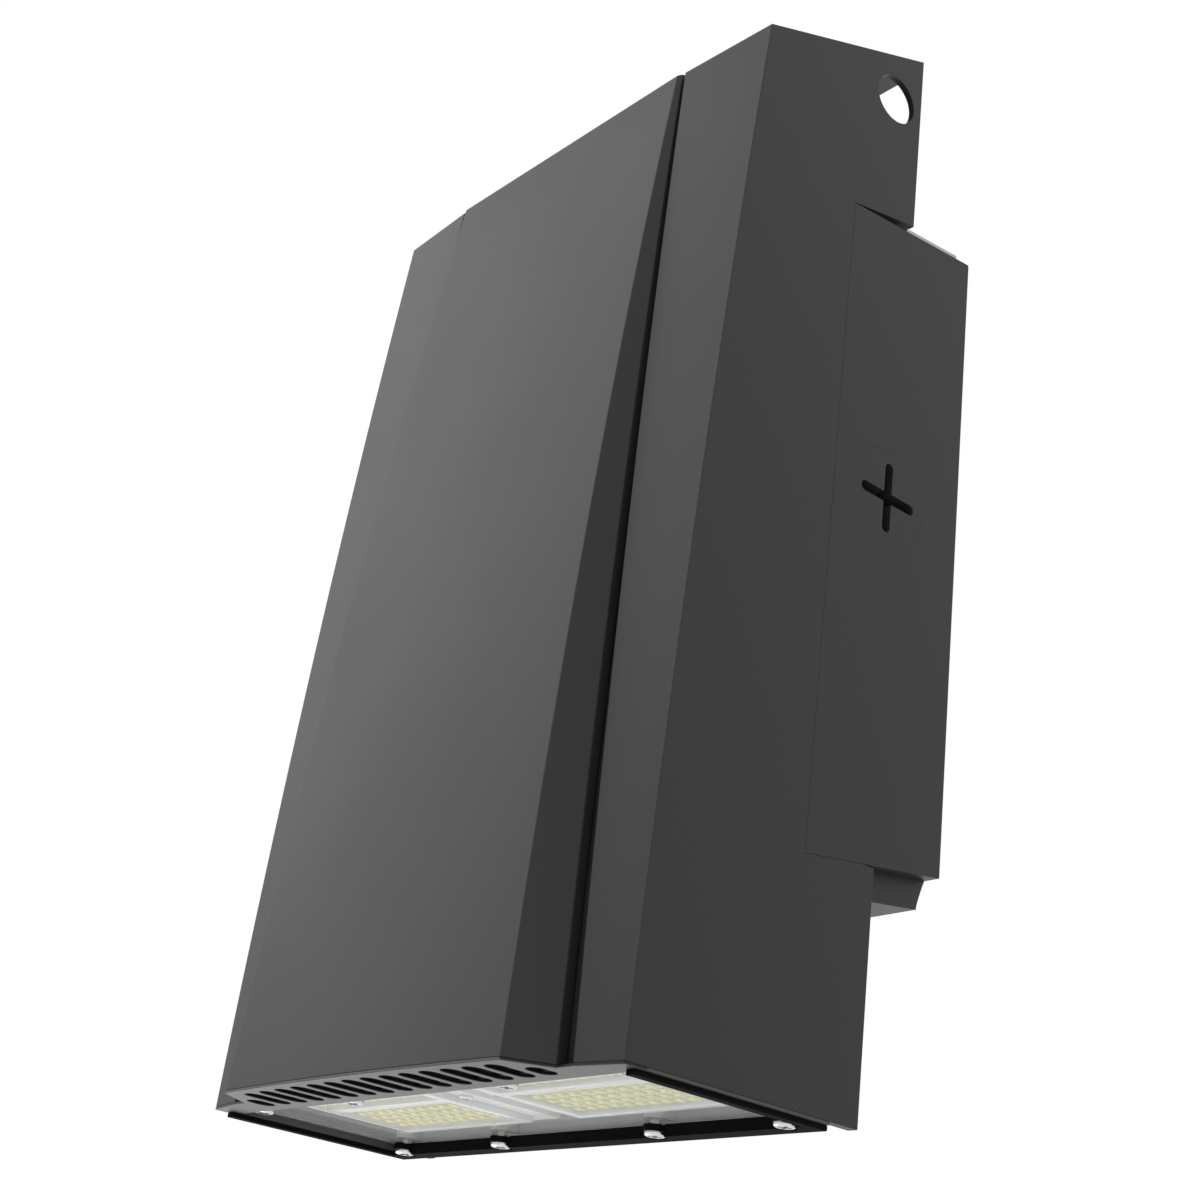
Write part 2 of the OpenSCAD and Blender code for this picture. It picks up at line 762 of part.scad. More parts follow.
// Electronic driver and surge protector on the tray's front
driver_wall = 1.5;
driver_tab = 12;
driver_tab_t = 2;
driver_lid_t = 1.5;
module driver_case() {
    x0 = driver_x - driver_size[0] / 2;
    x1 = driver_x + driver_size[0] / 2;
    y0 = tray_front - driver_size[1];
    z0 = driver_z - driver_size[2] / 2;
    z1 = driver_z + driver_size[2] / 2;
    color("white")
    difference() {
        union() {
            block([x0, y0, z0], [x1, tray_front, z1]);
            block([x0, tray_front - driver_tab_t, z0 - driver_tab], [x1, tray_front, z1 + driver_tab]);
        }
        block([x0 + driver_wall, y0 - over, z0 + driver_wall], [x1 - driver_wall, tray_front - driver_wall,
            z1 - driver_wall]);
        for (z = [z0 - driver_tab / 2, z1 + driver_tab / 2])
            bar_y([driver_x, tray_front - driver_tab_t - over, z], small_screw_d, driver_tab_t + 2 * over);
    }
}
module driver_lid() {
    x0 = driver_x - driver_size[0] / 2;
    x1 = driver_x + driver_size[0] / 2;
    y0 = tray_front - driver_size[1];
    z0 = driver_z - driver_size[2] / 2;
    z1 = driver_z + driver_size[2] / 2;
    color("white") block([x0, y0 - driver_lid_t, z0], [x1, y0, z1]);
}
module driver_screws() {
    color(zinc)
    for (z = [driver_z - driver_size[2] / 2 - driver_tab / 2, driver_z + driver_size[2] / 2 + driver_tab / 2])
        translate([driver_x, tray_front - driver_tab_t, z])
            rotate([90, 0, 0]) screw(small_screw_d - 2 * screw_fit, small_head_d, small_head_t, driver_tab_t);
}
surge_d = 24;
surge_l = 22;
surge_off = 32;
surge_x = driver_x - driver_size[0] / 2 - surge_off;
surge_z = 40;
module surge_protector() {
    color("dimgray")
    union() {
        bar_y([surge_x, tray_front - surge_l, surge_z], surge_d, surge_l);
        bar_y([surge_x, tray_front - surge_l - over, surge_z], surge_d / 2, surge_l);
    }
}
grommet_lip = 2;
grommet_lip_t = 1;
grommet_bore = 7;
module wire_grommet() {
    color(rubber)
    translate([grommet_x, 0, grommet_z])
        difference() {
            union() {
                bar_y([0, tray_front - grommet_lip_t, 0], grommet_d + 2 * grommet_lip, grommet_lip_t);
                bar_y([0, tray_front - grommet_lip_t / 2, 0], grommet_d, tray_t + grommet_lip_t / 2);
                bar_y([0, tray_y - grommet_lip_t / 4, 0], grommet_d, grommet_lip_t / 2);
            }
            bar_y([0, tray_front - grommet_lip_t - over, 0], grommet_bore, tray_t + 2 * grommet_lip_t + 2 * over);
        }
}

// Screws that lock the head shut, reached through the side holes
module closing_screws() {
    color(zinc)
    mirrored()
        translate([keeper_ear_x + keeper_ear_t + fit, closing_y, side_hole_z])
            rotate([0, 90, 0])
                screw(closing_d, closing_head_d, closing_head_t,
                    keeper_ear_t + fit + closing_gap + closing_lug_t + closing_tip);
}

// Light engine: everything that closes the bottom of the head
engine_rear = rear_y - engine_in;
lip_z = head_z - lip_t;
opening_x = head_w / 2 - head_wall - fit;
band_y = deck_y(head_z) + fit;
upstand_t = 2.5;
upstand_h = 8;
lens_rise = 1.1;
lens_z = head_z + lens_rise;
bezel_z = lip_z - bezel_t;
bezel_edge = 0.8;
bezel_x = head_w / 2 - bezel_edge;
lens_top = lens_z + lens_t;
frame_rim = 1.4;
pocket_x = opening_x - frame_rim;
lens_x = pocket_x - fit / 2;
front_post_y = band_y + head_wall + fit;
lens_front = front_post_y;
lens_rear = engine_rear - upstand_t;
// Outline of the head at its lower edge: the crowned cover between the wings
module foot_outline() {
    polygon(both_sides(head_half(head_z, 0, engine_rear)));
    polygon(both_sides(cover_half(head_z, 0, deck_y(head_z) + over)));
    polygon(both_sides([
        [wing_x(head_z) + over, deck_y(head_z) + over],
        [wing_x(head_z) + over, wing_y(head_z) + 2 * fit]
    ]));
}
vent_pitch = 2 * (flank_x(head_z) - vent_side) / (vent_count - 1);
// Front edge of the band at a slot: the crowned face, or the flank beside it
vent_end = deck_y(head_z) - vent_back;
function crowned_y(x) = cover_y(head_z) - cover_crown * (1 - pow(x / cover_x(head_z), 2));
function flank_y(x) = between(cover_y(head_z), wing_y(head_z),
    (x - cover_x(head_z)) / (flank_x(head_z) - cover_x(head_z)));
function vent_y(x) = vent_in + (abs(x) + vent_w / 2 > cover_x(head_z)
    ? flank_y(abs(x) + vent_w / 2)
    : crowned_y(x));
module vent(x) {
    r = vent_w / 2;
    y1 = vent_end - r;
    y0 = min(vent_y(x) + r, y1 - over);
    bar_z([x, y0, lip_z - over], vent_w, upstand_h);
    bar_z([x, y1, lip_z - over], vent_w, upstand_h);
    block([x - r, y0, lip_z - over], [x + r, y1, lip_z + upstand_h]);
}
lens_screw_d = 3;
lens_head_t = lens_z - bezel_z - fit / 3;
post_d = 7;
lens_screw_front_y = lens_front + post_d / 2;
lens_screw_rear_y = engine_rear - bezel_rear;
sink_rise = 3.8;
lens_screw_l = lens_t + sink_rise - fit;
lens_screw_front_ins = [56, 10];
lens_screw_rear_ins = [57, 9.5];
lens_screw_places = concat(
    [for (in = lens_screw_front_ins) [head_w / 2 - in, lens_screw_front_y, lens_z]],
    [for (in = lens_screw_rear_ins) [head_w / 2 - in, lens_screw_rear_y, lens_z]]
);
sink_z = lens_top + sink_rise;
module engine_frame() {
    color("#55534f")
    difference() {
        union() {
            translate([0, 0, lip_z]) linear_extrude(lip_t) foot_outline();
            difference() {
                block([-opening_x, front_post_y, lip_z], [opening_x, engine_rear, sink_z]);
                block([-opening_x + upstand_t, front_post_y + upstand_t, lip_z - over],
                    [opening_x - upstand_t, engine_rear - upstand_t, sink_z + over]);
            }
            mirrored() for (p = lens_screw_places)
                bar_z([p[0], p[1], lens_top], post_d, sink_z - lens_top);
            mirrored() for (in = lens_screw_rear_ins)
                block([head_w / 2 - in - post_d / 2, lens_screw_rear_y, lens_top],
                    [head_w / 2 - in + post_d / 2, engine_rear - upstand_t / 2, sink_z]);
        }
        block([-opening_x + upstand_t, front_post_y + upstand_t, lip_z - over],
            [opening_x - upstand_t, engine_rear - upstand_t, lens_top]);
        block([-pocket_x, front_post_y - fit, lip_z - over], [pocket_x, engine_rear + over, lens_top]);
        for (i = [0 : vent_count - 1])
            vent((i - (vent_count - 1) / 2) * vent_pitch);
        mirrored() for (p = lens_screw_places)
            bar_z([p[0], p[1], lens_top - over], lens_screw_d + 2 * screw_fit, sink_rise + 2 * over);
    }
}
module lens() {
    color("white", 0.4)
    difference() {
        block([-lens_x, lens_front, lens_z], [lens_x, lens_rear, lens_top - fit / 3]);
        mirrored() for (p = lens_screw_places)
            bar_z([p[0], p[1], lens_z - over], lens_screw_d + 2 * screw_fit, lens_t + 2 * over);
    }
}
// Black U-shaped strip that clamps the lens along its sides and rear, its flange under the frame's lip
bezel_ends = 3;
module lens_bezel() {
    color(rubber)
    difference() {
        union() {
            block([-bezel_x, lens_front - bezel_ends, bezel_z], [bezel_x, engine_rear, lip_z]);
            block([-lens_x, lens_front, bezel_z], [lens_x, engine_rear, lens_z]);
        }
        block([-opening_x + bezel_side, lens_front - bezel_ends - over, bezel_z - over],
            [opening_x - bezel_side, engine_rear - bezel_rear, lens_z + over]);
        mirrored() for (p = lens_screw_places)
            bar_z([p[0], p[1], bezel_z - over], lens_head_d + 2 * fit, lens_z - bezel_z + 2 * over);
    }
}
module lens_screws() {
    color(zinc)
    mirrored() for (p = lens_screw_places)
        translate(p)
            rotate([180, 0, 0])
                screw(lens_screw_d, lens_head_d, lens_head_t, lens_screw_l);
}

// LED boards, their chips and the pale frames around the chips
board_x0 = 3;
board_gap = 10.2;
board_x1 = opening_x - upstand_t - board_gap;
board_y0 = lens_screw_front_y + post_d / 2 + fit;
board_y1 = lens_screw_rear_y - post_d / 2 - fit;
pad_t = 0.5;
board_z = sink_z - pad_t - board_t;
board_screw_d = 2.5;
board_head_d = 4;
board_head_t = 1;
board_screw_in = 4;
board_screw_xs = [board_x0 + board_screw_in, board_x1 - board_head_d / 2 - fit];
board_screw_back = 14;
board_screw_y = board_y0 + board_screw_back;
chip_t = 0.7;
chip_x0 = 14.6;
chip_main_y = -54.5;
chip_front_y = -83;
reflector_edge = 2.5;
// As many chips in a row as fit between the board's screws
chip_row_l = board_x1 - board_head_d - 2 * fit - reflector_edge - chip_x0;
chip_columns = floor((chip_row_l - chip_w) / chip_pitch) + 1;
module board_plate(z0, z1) {
    difference() {
        block([board_x0, board_y0, z0], [board_x1, board_y1, z1]);
        for (x = board_screw_xs)
            bar_z([x, board_screw_y, z0 - over], board_screw_d + 2 * screw_fit, z1 - z0 + 2 * over);
    }
}
module thermal_pad() {
    color("lightgray") mirrored() board_plate(sink_z - pad_t, sink_z);
}
module led_board() {
    board_plate(board_z, board_z + board_t);
}
module led_board_right() {
    color("white") led_board();
}
module led_board_left() {
    color("white") mirror([1, 0, 0]) led_board();
}
module chips() {
    ys = concat([chip_front_y], [for (j = [0 : chip_rows - 1]) chip_main_y - j * chip_pitch]);
    for (i = [0 : chip_columns - 1]) for (y = ys)
        block([chip_x0 + i * chip_pitch, y - chip_w / 2, board_z - chip_t],
            [chip_x0 + i * chip_pitch + chip_w, y + chip_w / 2, board_z]);
}
module led_chips_right() {
    color("khaki") chips();
}
module led_chips_left() {
    color("khaki") mirror([1, 0, 0]) chips();
}
reflector_t = 1.6;
reflector_w = 2;
module reflector() {
    chips_x1 = chip_x0 + (chip_columns - 1) * chip_pitch + chip_w;
    main_y0 = chip_main_y - (chip_rows - 1) * chip_pitch - chip_w / 2;
    main_y1 = chip_main_y + chip_w / 2;
    difference() {
        block([chip_x0 - reflector_edge - reflector_w, chip_front_y - chip_w / 2 - reflector_edge,
            board_z - reflector_t], [chips_x1 + reflector_edge, main_y1 + reflector_edge + reflector_w / 2, board_z]);
        block([chip_x0 - reflector_edge / 2, main_y0 - reflector_edge / 2, board_z - reflector_t - over],
            [chips_x1 + reflector_edge / 2, main_y1 + reflector_edge / 2, board_z + over]);
        block([chip_x0 - reflector_edge / 2, chip_front_y - chip_w, board_z - reflector_t - over],
            [chips_x1 + reflector_edge / 2, chip_front_y + chip_w, board_z + over]);
    }
}
module reflector_right() {
    color("gainsboro") reflector();
}
module reflector_left() {
    color("gainsboro") mirror([1, 0, 0]) reflector();
}

// Heat sink over the boards
sink_base_t = 5;
sink_top_z = -122;
fin_t = 2;
fin_count = 19;
sink_gap = 1;
sink_x = opening_x - sink_gap;
sink_y0 = front_post_y + upstand_t;
module heat_sink() {
    fin_pitch = (2 * sink_x - fin_t) / (fin_count - 1);
    color("silver")
    difference() {
        union() {
            block([-sink_x, sink_y0, sink_z], [sink_x, engine_rear, sink_z + sink_base_t]);
            for (i = [0 : fin_count - 1])
                block([-sink_x + i * fin_pitch, sink_y0, sink_z + sink_base_t / 2],
                    [-sink_x + i * fin_pitch + fin_t, engine_rear, sink_top_z]);
        }
        mirrored() for (x = board_screw_xs)
            bar_z([x, board_screw_y, sink_z - over], board_screw_d + 2 * screw_fit, sink_base_t);
    }
}
module board_screws() {
    color(zinc)
    mirrored() for (x = board_screw_xs)
        translate([x, board_screw_y, board_z])
            rotate([180, 0, 0])
                screw(board_screw_d, board_head_d, board_head_t, board_t + pad_t + sink_base_t / 2);
}

// Rear cover of the engine room, below the box
back_cover_t = 1.5;
back_cover_off = 6;
back_cover_y = engine_rear + back_cover_off;
back_cover_drop = 9.4;
back_cover_top = neck_z - back_cover_drop;
back_cover_foot = 2;
shelf_l = 26;
slot_w = 3;
slot_h = 22;
slot_pitch = 10;
slot_count = 11;
module lower_back_cover() {
    color(paint)
    difference() {
        union() {
            block([-opening_x, back_cover_y, head_z + back_cover_foot],
                [opening_x, back_cover_y + back_cover_t, back_cover_top]);
            block([-opening_x, back_cover_y - shelf_l, back_cover_top - back_cover_t],
                [opening_x, back_cover_y + back_cover_t, back_cover_top]);
            mirrored()
                bar_y([lower_screw_x, engine_rear + fit, lower_screw_z], boss_d, back_cover_y - engine_rear);
        }
        for (i = [0 : slot_count - 1])
            translate([(i - (slot_count - 1) / 2) * slot_pitch, 0, 0])
                block([-slot_w / 2, back_cover_y - over, back_cover_top - 2 * back_cover_t - slot_h],
                    [slot_w / 2, back_cover_y + back_cover_t + over, back_cover_top - 2 * back_cover_t]);
        mirrored()
            bar_y([lower_screw_x, engine_rear - over, lower_screw_z], small_screw_d + 2 * screw_fit,
                back_cover_y - engine_rear + back_cover_t + 3 * over);
    }
}
lower_screw_in = 18;
lower_screw_x = head_w / 2 - lower_screw_in;
lower_screw_rise = 7;
lower_screw_z = head_z + lower_screw_rise;
module lower_cover_screws() {
    color(zinc)
    mirrored()
        translate([lower_screw_x, back_cover_y + back_cover_t, lower_screw_z])
            rotate([-90, 0, 0])
                screw(small_screw_d, small_head_d, small_head_t, back_cover_y - engine_rear + back_cover_t);
}

back_box();
wall_gasket();
box_gasket();
plug_left();
plug_right();
plug_seals();
top_keeper();
keeper_screws();
hinge_pins();
terminal_block();
terminal_screws();
ground_screw();
housing();
front_cover();
cover_screws();
driver_tray();
tray_screws();
driver_case();
driver_lid();
driver_screws();
surge_protector();
wire_grommet();
closing_screws();
heat_sink();
board_screws();
thermal_pad();
led_board_left();
led_board_right();
led_chips_left();
led_chips_right();
reflector_left();
reflector_right();
engine_frame();
lens();
lens_bezel();
lens_screws();
lower_back_cover();
lower_cover_screws();
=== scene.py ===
"""Wall pack light: finished castings, light engine and fastenings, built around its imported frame."""

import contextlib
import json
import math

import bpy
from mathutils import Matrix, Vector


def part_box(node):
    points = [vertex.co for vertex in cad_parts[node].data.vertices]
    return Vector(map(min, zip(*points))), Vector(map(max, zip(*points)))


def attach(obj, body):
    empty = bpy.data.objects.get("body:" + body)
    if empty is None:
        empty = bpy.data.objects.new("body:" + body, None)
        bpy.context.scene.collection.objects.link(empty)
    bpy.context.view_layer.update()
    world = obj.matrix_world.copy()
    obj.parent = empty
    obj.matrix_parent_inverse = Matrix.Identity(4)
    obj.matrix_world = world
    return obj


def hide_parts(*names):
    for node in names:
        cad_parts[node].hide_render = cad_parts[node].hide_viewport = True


bl_info = {
    "name": "Wall pack light",
    "version": (1, 0, 0),
    "blender": (4, 5, 0),
    "location": "View3D > Sidebar > Wall pack",
    "description": "Builds a hinged wall pack light around its packed frame",
    "category": "Object",
}

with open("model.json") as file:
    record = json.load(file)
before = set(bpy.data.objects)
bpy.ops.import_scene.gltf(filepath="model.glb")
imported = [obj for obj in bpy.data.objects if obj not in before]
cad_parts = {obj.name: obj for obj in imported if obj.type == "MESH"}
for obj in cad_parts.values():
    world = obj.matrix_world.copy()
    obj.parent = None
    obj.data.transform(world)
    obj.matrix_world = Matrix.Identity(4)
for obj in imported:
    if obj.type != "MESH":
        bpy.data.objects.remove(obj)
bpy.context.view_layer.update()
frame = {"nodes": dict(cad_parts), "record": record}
MM = 0.001
TURN = 2 * math.pi
AXES = {"X": Vector((1, 0, 0)), "Y": Vector((0, 1, 0)), "Z": Vector((0, 0, 1))}
MIRROR = Matrix.Scale(-1, 4, AXES["X"])
SLOTS = {entry["node"]: entry["material_slot"] for entry in frame["record"]["subparts"]}
# Cuts run past the faces that they start from by this much
PAST = 5 * MM
# Clearance between pieces that are fitted to each other
FIT = 0.3 * MM
# Room behind the flanges of the side plugs
SEAT_ROOM = 1 * MM
# The head's outlines: how many there are, and how far they rise past its highest corner
OUTLINES, OVER_TOP = 28, 2 * MM
# Edges are rounded where they turn by more than this: at slight turns too, or only at square corners
SLIGHT, SQUARE = 20, 50
# Hollow rear of the neck: where it starts, in shares of its depth, and how strongly it curves
COVE_START, COVE_CURVE = 0.1, 1.3
# Screw head in shares of its diameter: rounded edge, half length and half width of the cross recess
HEAD_EDGE, ARM_REACH, ARM_WIDE = 0.12, 0.3, 0.09
# In shares of its height: skirt below it while the edge is rounded, recess floor, shank's top
HEAD_SKIRT, ARM_FLOOR, SHANK_TOP = 0.28, 0.35, 0.1
# Turn from one lens screw's recess to the next, in radians
SCREW_TURN = 0.7
# Chip: share of its thickness that is its body, margin round the resin and taper of the resin
CHIP_BODY, RESIN_MARGIN, RESIN_TAPER = 0.6, 0.12, 0.8


def length(title, words, size):
    """A size property given in millimetres and kept in metres."""
    return bpy.props.FloatProperty(name=title, description=words, default=size * MM, unit="LENGTH")


def spacings(title, words, *sizes):
    """Several size properties in one, given in millimetres."""
    return bpy.props.FloatVectorProperty(
        name=title, description=words, default=[size * MM for size in sizes], size=len(sizes), unit="LENGTH"
    )


def number(title, words, value):
    return bpy.props.IntProperty(name=title, description=words, default=value, min=1)


def colour(title, words, value):
    return bpy.props.FloatVectorProperty(
        name=title, description=words, default=value, size=3, subtype="COLOR", min=0, max=1
    )


class HeadSizes(bpy.types.PropertyGroup):
    """Shape of the cast head and its raised front cover"""

    front_h: length("Front height", "Height of the side walls at their front edge", 307.3)
    top_slope: bpy.props.FloatProperty(
        name="Top slope", description="Fall of the top towards the front",
        default=math.radians(22.9), subtype="ANGLE",
    )
    side_low: length("Side depth below", "Depth of the side walls at the bottom", 78)
    side_high: length("Side depth above", "Depth of the side walls at the front top corner", 66)
    side_bow: length("Side bow", "How far the side walls' front edge bows out", 2.15)
    wall: length("Wall", "Thickness of the cast walls", 3)
    wing_low: length("Wing width below", "Width of each wing at the bottom", 15.1)
    wing_high: length("Wing width above", "Width of each wing at the top", 34.4)
    wing_rise: length("Wing rise", "How far the wing stands forward of the side wall's edge", 2.7)
    groove_low: length("Groove width below", "Width of the groove beside the cover at the bottom", 5.9)
    groove_high: length("Groove width above", "Width of the groove at the top", 1.1)
    groove_depth: length("Groove depth", "Depth of the groove behind the wing", 3.4)
    cover_low: length("Cover width below", "Width of the cover's front face at the bottom", 123.4)
    cover_high: length("Cover width above", "Width of the cover's front face at the top", 106.8)
    cover_out_low: length("Cover depth below", "Depth of the cover's front edge at the bottom", 91.8)
    cover_out_high: length("Cover depth above", "Depth of the cover's front edge at the top", 69.6)
    cover_bow: length("Cover bow", "How far the cover's front edge bows out along its height", 3)
    cover_crown: length("Cover crown", "Crown of the cover's front face at the bottom", 2)
    cover_wall: length("Cover wall", "Thickness of the cover", 2.5)
    edge: length("Cast edge", "Rounding of the cast edges", 0.3)
    lug_x: length("Closing lug place", "Distance of the closing lugs from the middle", 60)
    lug_t: length("Closing lug", "Thickness of the closing lugs", 3)
    lug_w: length("Closing lug width", "Width of the closing lugs", 10)
    lug_drop: length("Closing lug drop", "How far the closing lugs reach below the side holes", 8)
    hole_d: length("Side hole", "Diameter of the round hole in each side", 16.4)
    hole_in: length("Side hole place", "Distance of the side holes from the rear edge", 11.6)
    hole_z: length("Side hole height", "Height of the side holes", 148.3)
    hole_land: length("Side hole wall", "Thickness of the wall round the side holes", 2)
    hole_rim: length("Side hole rim", "How much wider the thin wall is than the hole", 4)
    seam: length("Seam", "Gap between the head and the wiring box", 0.06)
    slit_rise: length("Slit rise", "How far the slit above the box opens towards the rear", 2.9)
    ledge_w: length("Ledge width", "Width of the ledge along the slit", 9)
    ledge_t: length("Ledge", "Thickness of the ledge along the slit", 2)
    corner_relief: length("Corner relief", "How much the lower rear corner is cut back", 0.6)
    relief_l: length("Relief length", "Length of the cut at the lower rear corner", 4)


class BoxSizes(bpy.types.PropertyGroup):
    """Shape of the wiring box behind the head"""

    fall: length("Top fall", "Fall of the box top towards the front", 5.6)
    dip: length("Side dip", "How much lower the side face reaches at the front", 8)
    foot: length("Side foot", "Height of the side face below the centre at the wall", 92.7)
    neck_inset: length("Neck inset", "How far the neck stands back from each side", 5)
    neck_off: length("Neck stand-off", "How far the neck's rear stands off the wall", 3.2)
    neck_h: length("Neck height", "How far the neck reaches below the side faces", 8.4)
    neck_wall: length("Neck wall", "Thickness of the neck's walls", 3)
    rim: length("Rim", "Width of the box's front rim", 5)
    back: length("Back", "Thickness of the wall face", 3.5)
    corner: length("Rear corner", "Size of the cut along the rear top corner", 0.5)
    edge: length("Cast edge", "Rounding of the cast edges", 0.2)
    boss_d: length("Plug boss", "Diameter of the bosses that carry the side plugs", 36)
    boss_t: length("Plug boss thickness", "Thickness of the plug bosses", 8)
    plug_seam: length("Plug seam", "Gap round the side plugs", 0.03)
    plug_face: length("Plug face", "Thickness of the plug's flange", 2.5)
    plug_shank: length("Plug shank", "Diameter of the plug's shank", 21)
    cross_l: length("Cross length", "Length of the plug's cross recess", 21.9)
    cross_w: length("Cross width", "Width of the plug's cross recess", 3.2)
    cross_depth: length("Cross depth", "Depth of the plug's cross recess", 6)
    bolt_x: length("Wall screws across", "Spacing of the wall screw holes across", 130)
    bolt_z: length("Wall screws up", "Spacing of the wall screw holes up and down", 150)
    bolt_d: length("Wall screw hole", "Diameter of the wall screw holes", 6.5)
    junction_x: length("Junction screws", "Spacing of the junction box screws", 88.9)
    junction_d: length("Junction screw hole", "Diameter of the junction box screw holes", 5.2)
    entry_d: length("Wire entry", "Diameter of the rear wire entry", 22.2)
    hinge_x: length("Hinge place", "Distance of the hinge pockets from the middle", 68)
    pocket_w: length("Hinge pocket width", "Width of each hinge pocket", 10)
    pocket_d: length("Hinge pocket", "Diameter of the room round the hinge line", 13)
    ear_t: length("Hinge ear", "Thickness of the ears beside the hinge pockets", 4)
    seal_in: length("Seal margin", "Distance of the wall seal from the box's edge", 8)
    seal_w: length("Seal width", "Width of the wall seal's groove", 4)
    seal_t: length("Seal groove", "Depth of the wall seal's groove", 2)


class EngineSizes(bpy.types.PropertyGroup):
    """Sizes of the light engine under the head"""

    vent_count: number("Air slots", "Number of air slots", 16)
    vent_side: length("Slot side margin", "Distance of the outer air slots from the cover's flanks", 6.75)
    vent_w: length("Slot width", "Width of the air slots", 6)
    vent_in: length("Slot margin", "Distance of the air slots behind the front edge", 2.6)
    vent_end: length("Slot end", "How far behind the wing's face the air slots end", 5.4)
    upstand: length("Upstand", "Thickness of the frame's upright walls", 2.5)
    seal_and_shade_h: length("Side seal", "Height of the black seal on the walls beside the lens", 3.5)
    frame_rim: length("Frame rim", "Rim between the lens and the frame's side", 1.4)
    # The black band of this height is painted on the frame: a seal, and painted shade on the walls' inner
    # faces
    post_d: length("Screw post", "Diameter of the posts for the lens screws", 7)
    bezel_side: length("Bezel side", "Width of the black bezel along the sides", 0.4)
    bezel_rear: length("Bezel rear", "Width of the black bezel along the rear", 6)
    bezel_t: length("Bezel", "Thickness of the bezel's flange", 1.4)
    screw_d: length("Screw", "Diameter of the lens screws", 3)
    screw_head: length("Screw head", "Diameter of the lens screws' heads", 6)
    screw_head_t: length("Screw head height", "Height of the lens screws' heads", 1.4)
    front_screws: spacings("Front screws", "Distances of the front lens screws from the middle", 34, 80)
    rear_screws: spacings("Rear screws", "Distances of the rear lens screws from the middle", 33, 80.5)
    chip_w: length("Chip", "Width of one light-emitting chip", 3)
    chip_pitch: length("Chip spacing", "Spacing of the chips", 4.9)
    chip_rows: number("Chip rows", "Rows in the main group of each board", 5)
    edge: length("Edge", "Rounding of the engine's edges", 0.2)


class Colours(bpy.types.PropertyGroup):
    """Colours of the finishes"""

    paint: colour("Paint", "Dark bronze-grey powder coat", (0.0200, 0.0196, 0.0186))
    engine: colour("Engine frame", "Grey paint of the light engine's frame", (0.050, 0.049, 0.047))
    black: colour("Black", "Black silicone and plastic", (0.005, 0.005, 0.005))
    board: colour("Board", "Pale solder mask", (0.62, 0.63, 0.60))
    phosphor: colour("Phosphor", "Yellow of the chips", (0.70, 0.66, 0.22))
    reflector: colour("Reflector", "Pale grey moulded frame", (0.60, 0.60, 0.61))
    steel: colour("Steel", "Bright screws", (0.72, 0.72, 0.71))


# Modelling tools


def deselect():
    bpy.ops.object.select_all(action="DESELECT")


def activate(piece):
    deselect()
    piece.select_set(True)
    bpy.context.view_layer.objects.active = piece


@contextlib.contextmanager
def editing(action="SELECT"):
    """Edit mode of the active object, with its mesh selected or not, or as it was."""
    bpy.ops.object.mode_set(mode="EDIT")
    if action:
        bpy.ops.mesh.select_all(action=action)
    yield
    bpy.ops.object.mode_set(mode="OBJECT")


def named(piece, name):
    piece.name = piece.data.name = name
    return piece


def settle(name):
    """Names the new active object and puts its place into its mesh."""
    bpy.ops.object.transform_apply(location=True, rotation=True, scale=True)
    return named(bpy.context.object, name)


def block(name, low, high):
    """A cuboid between two corners."""
    low, high = Vector(low), Vector(high)
    deselect()
    bpy.ops.mesh.primitive_cube_add(size=1, location=(low + high) / 2, scale=high - low)
    return settle(name)


def rod(name, start, axis, diameter, reach, sides=64):
    """A round bar along an axis, from a start point."""
    way = AXES[axis]
    deselect()
    bpy.ops.mesh.primitive_cylinder_add(
        vertices=sides, radius=diameter / 2, depth=reach,
        location=Vector(start) + way * reach / 2, rotation=way.to_track_quat("Z", "Y").to_euler(),
    )
    return settle(name)


def outward(piece):
    """Turns the faces of the active piece outwards."""
    with editing():
        bpy.ops.mesh.normals_make_consistent(inside=False)
    return piece


def prism(name, outline, axis, start, end):
    """An outline in the two other axes, in their order, extruded along an axis."""
    deselect()
    bpy.ops.mesh.primitive_circle_add(vertices=len(outline), radius=1, fill_type="NGON")
    piece = settle(name)
    lead = "XYZ".index(axis)
    for vertex, place in zip(piece.data.vertices, outline):
        point = list(place)
        point.insert(lead, start)
        vertex.co = point
    with editing():
        bpy.ops.mesh.extrude_region_move(
            TRANSFORM_OT_translate={"value": AXES[axis] * (end - start), "orient_type": "GLOBAL"}
        )
    return outward(piece)


def lofted(name, outline_at, levels):
    """A closed solid through horizontal outlines, each with the same number of points."""
    outlines = [outline_at(z) for z in levels]
    count = len(outlines[0])
    deselect()
    bpy.ops.mesh.primitive_cylinder_add(
        vertices=count, radius=1, depth=levels[-1] - levels[0],
        location=(0, 0, (levels[0] + levels[-1]) / 2), end_fill_type="NGON",
    )
    piece = settle(name)
    for z in levels[1:-1]:
        with editing():
            bpy.ops.mesh.bisect(plane_co=(0, 0, z), plane_no=(0, 0, 1))
    for vertex in piece.data.vertices:
        level = min(range(len(levels)), key=lambda i: abs(levels[i] - vertex.co.z))
        angle = math.atan2(vertex.co.y, vertex.co.x) - math.pi / 2
        x, y = outlines[level][round(angle / TURN * count) % count]
        vertex.co = (x, y, levels[level])
    return outward(piece)


def trim(piece, place, normal):
    """Cuts off all that lies past a plane and closes the cut."""
    activate(piece)
    with editing():
        bpy.ops.mesh.bisect(plane_co=place, plane_no=normal, use_fill=True, clear_outer=True)
    return piece


def apply(piece, kind, **settings):
    """Adds a modifier with its settings and applies it."""
    modifier = piece.modifiers.new(kind.title(), kind)
    for key, value in settings.items():
        setattr(modifier, key, value)
    activate(piece)
    bpy.ops.object.modifier_apply(modifier=modifier.name)
    return piece


def combine(piece, tools, operation):
    for tool in tools:
        apply(piece, "BOOLEAN", object=tool, operation=operation, solver="EXACT")
        bpy.data.objects.remove(tool, do_unlink=True)
    return piece


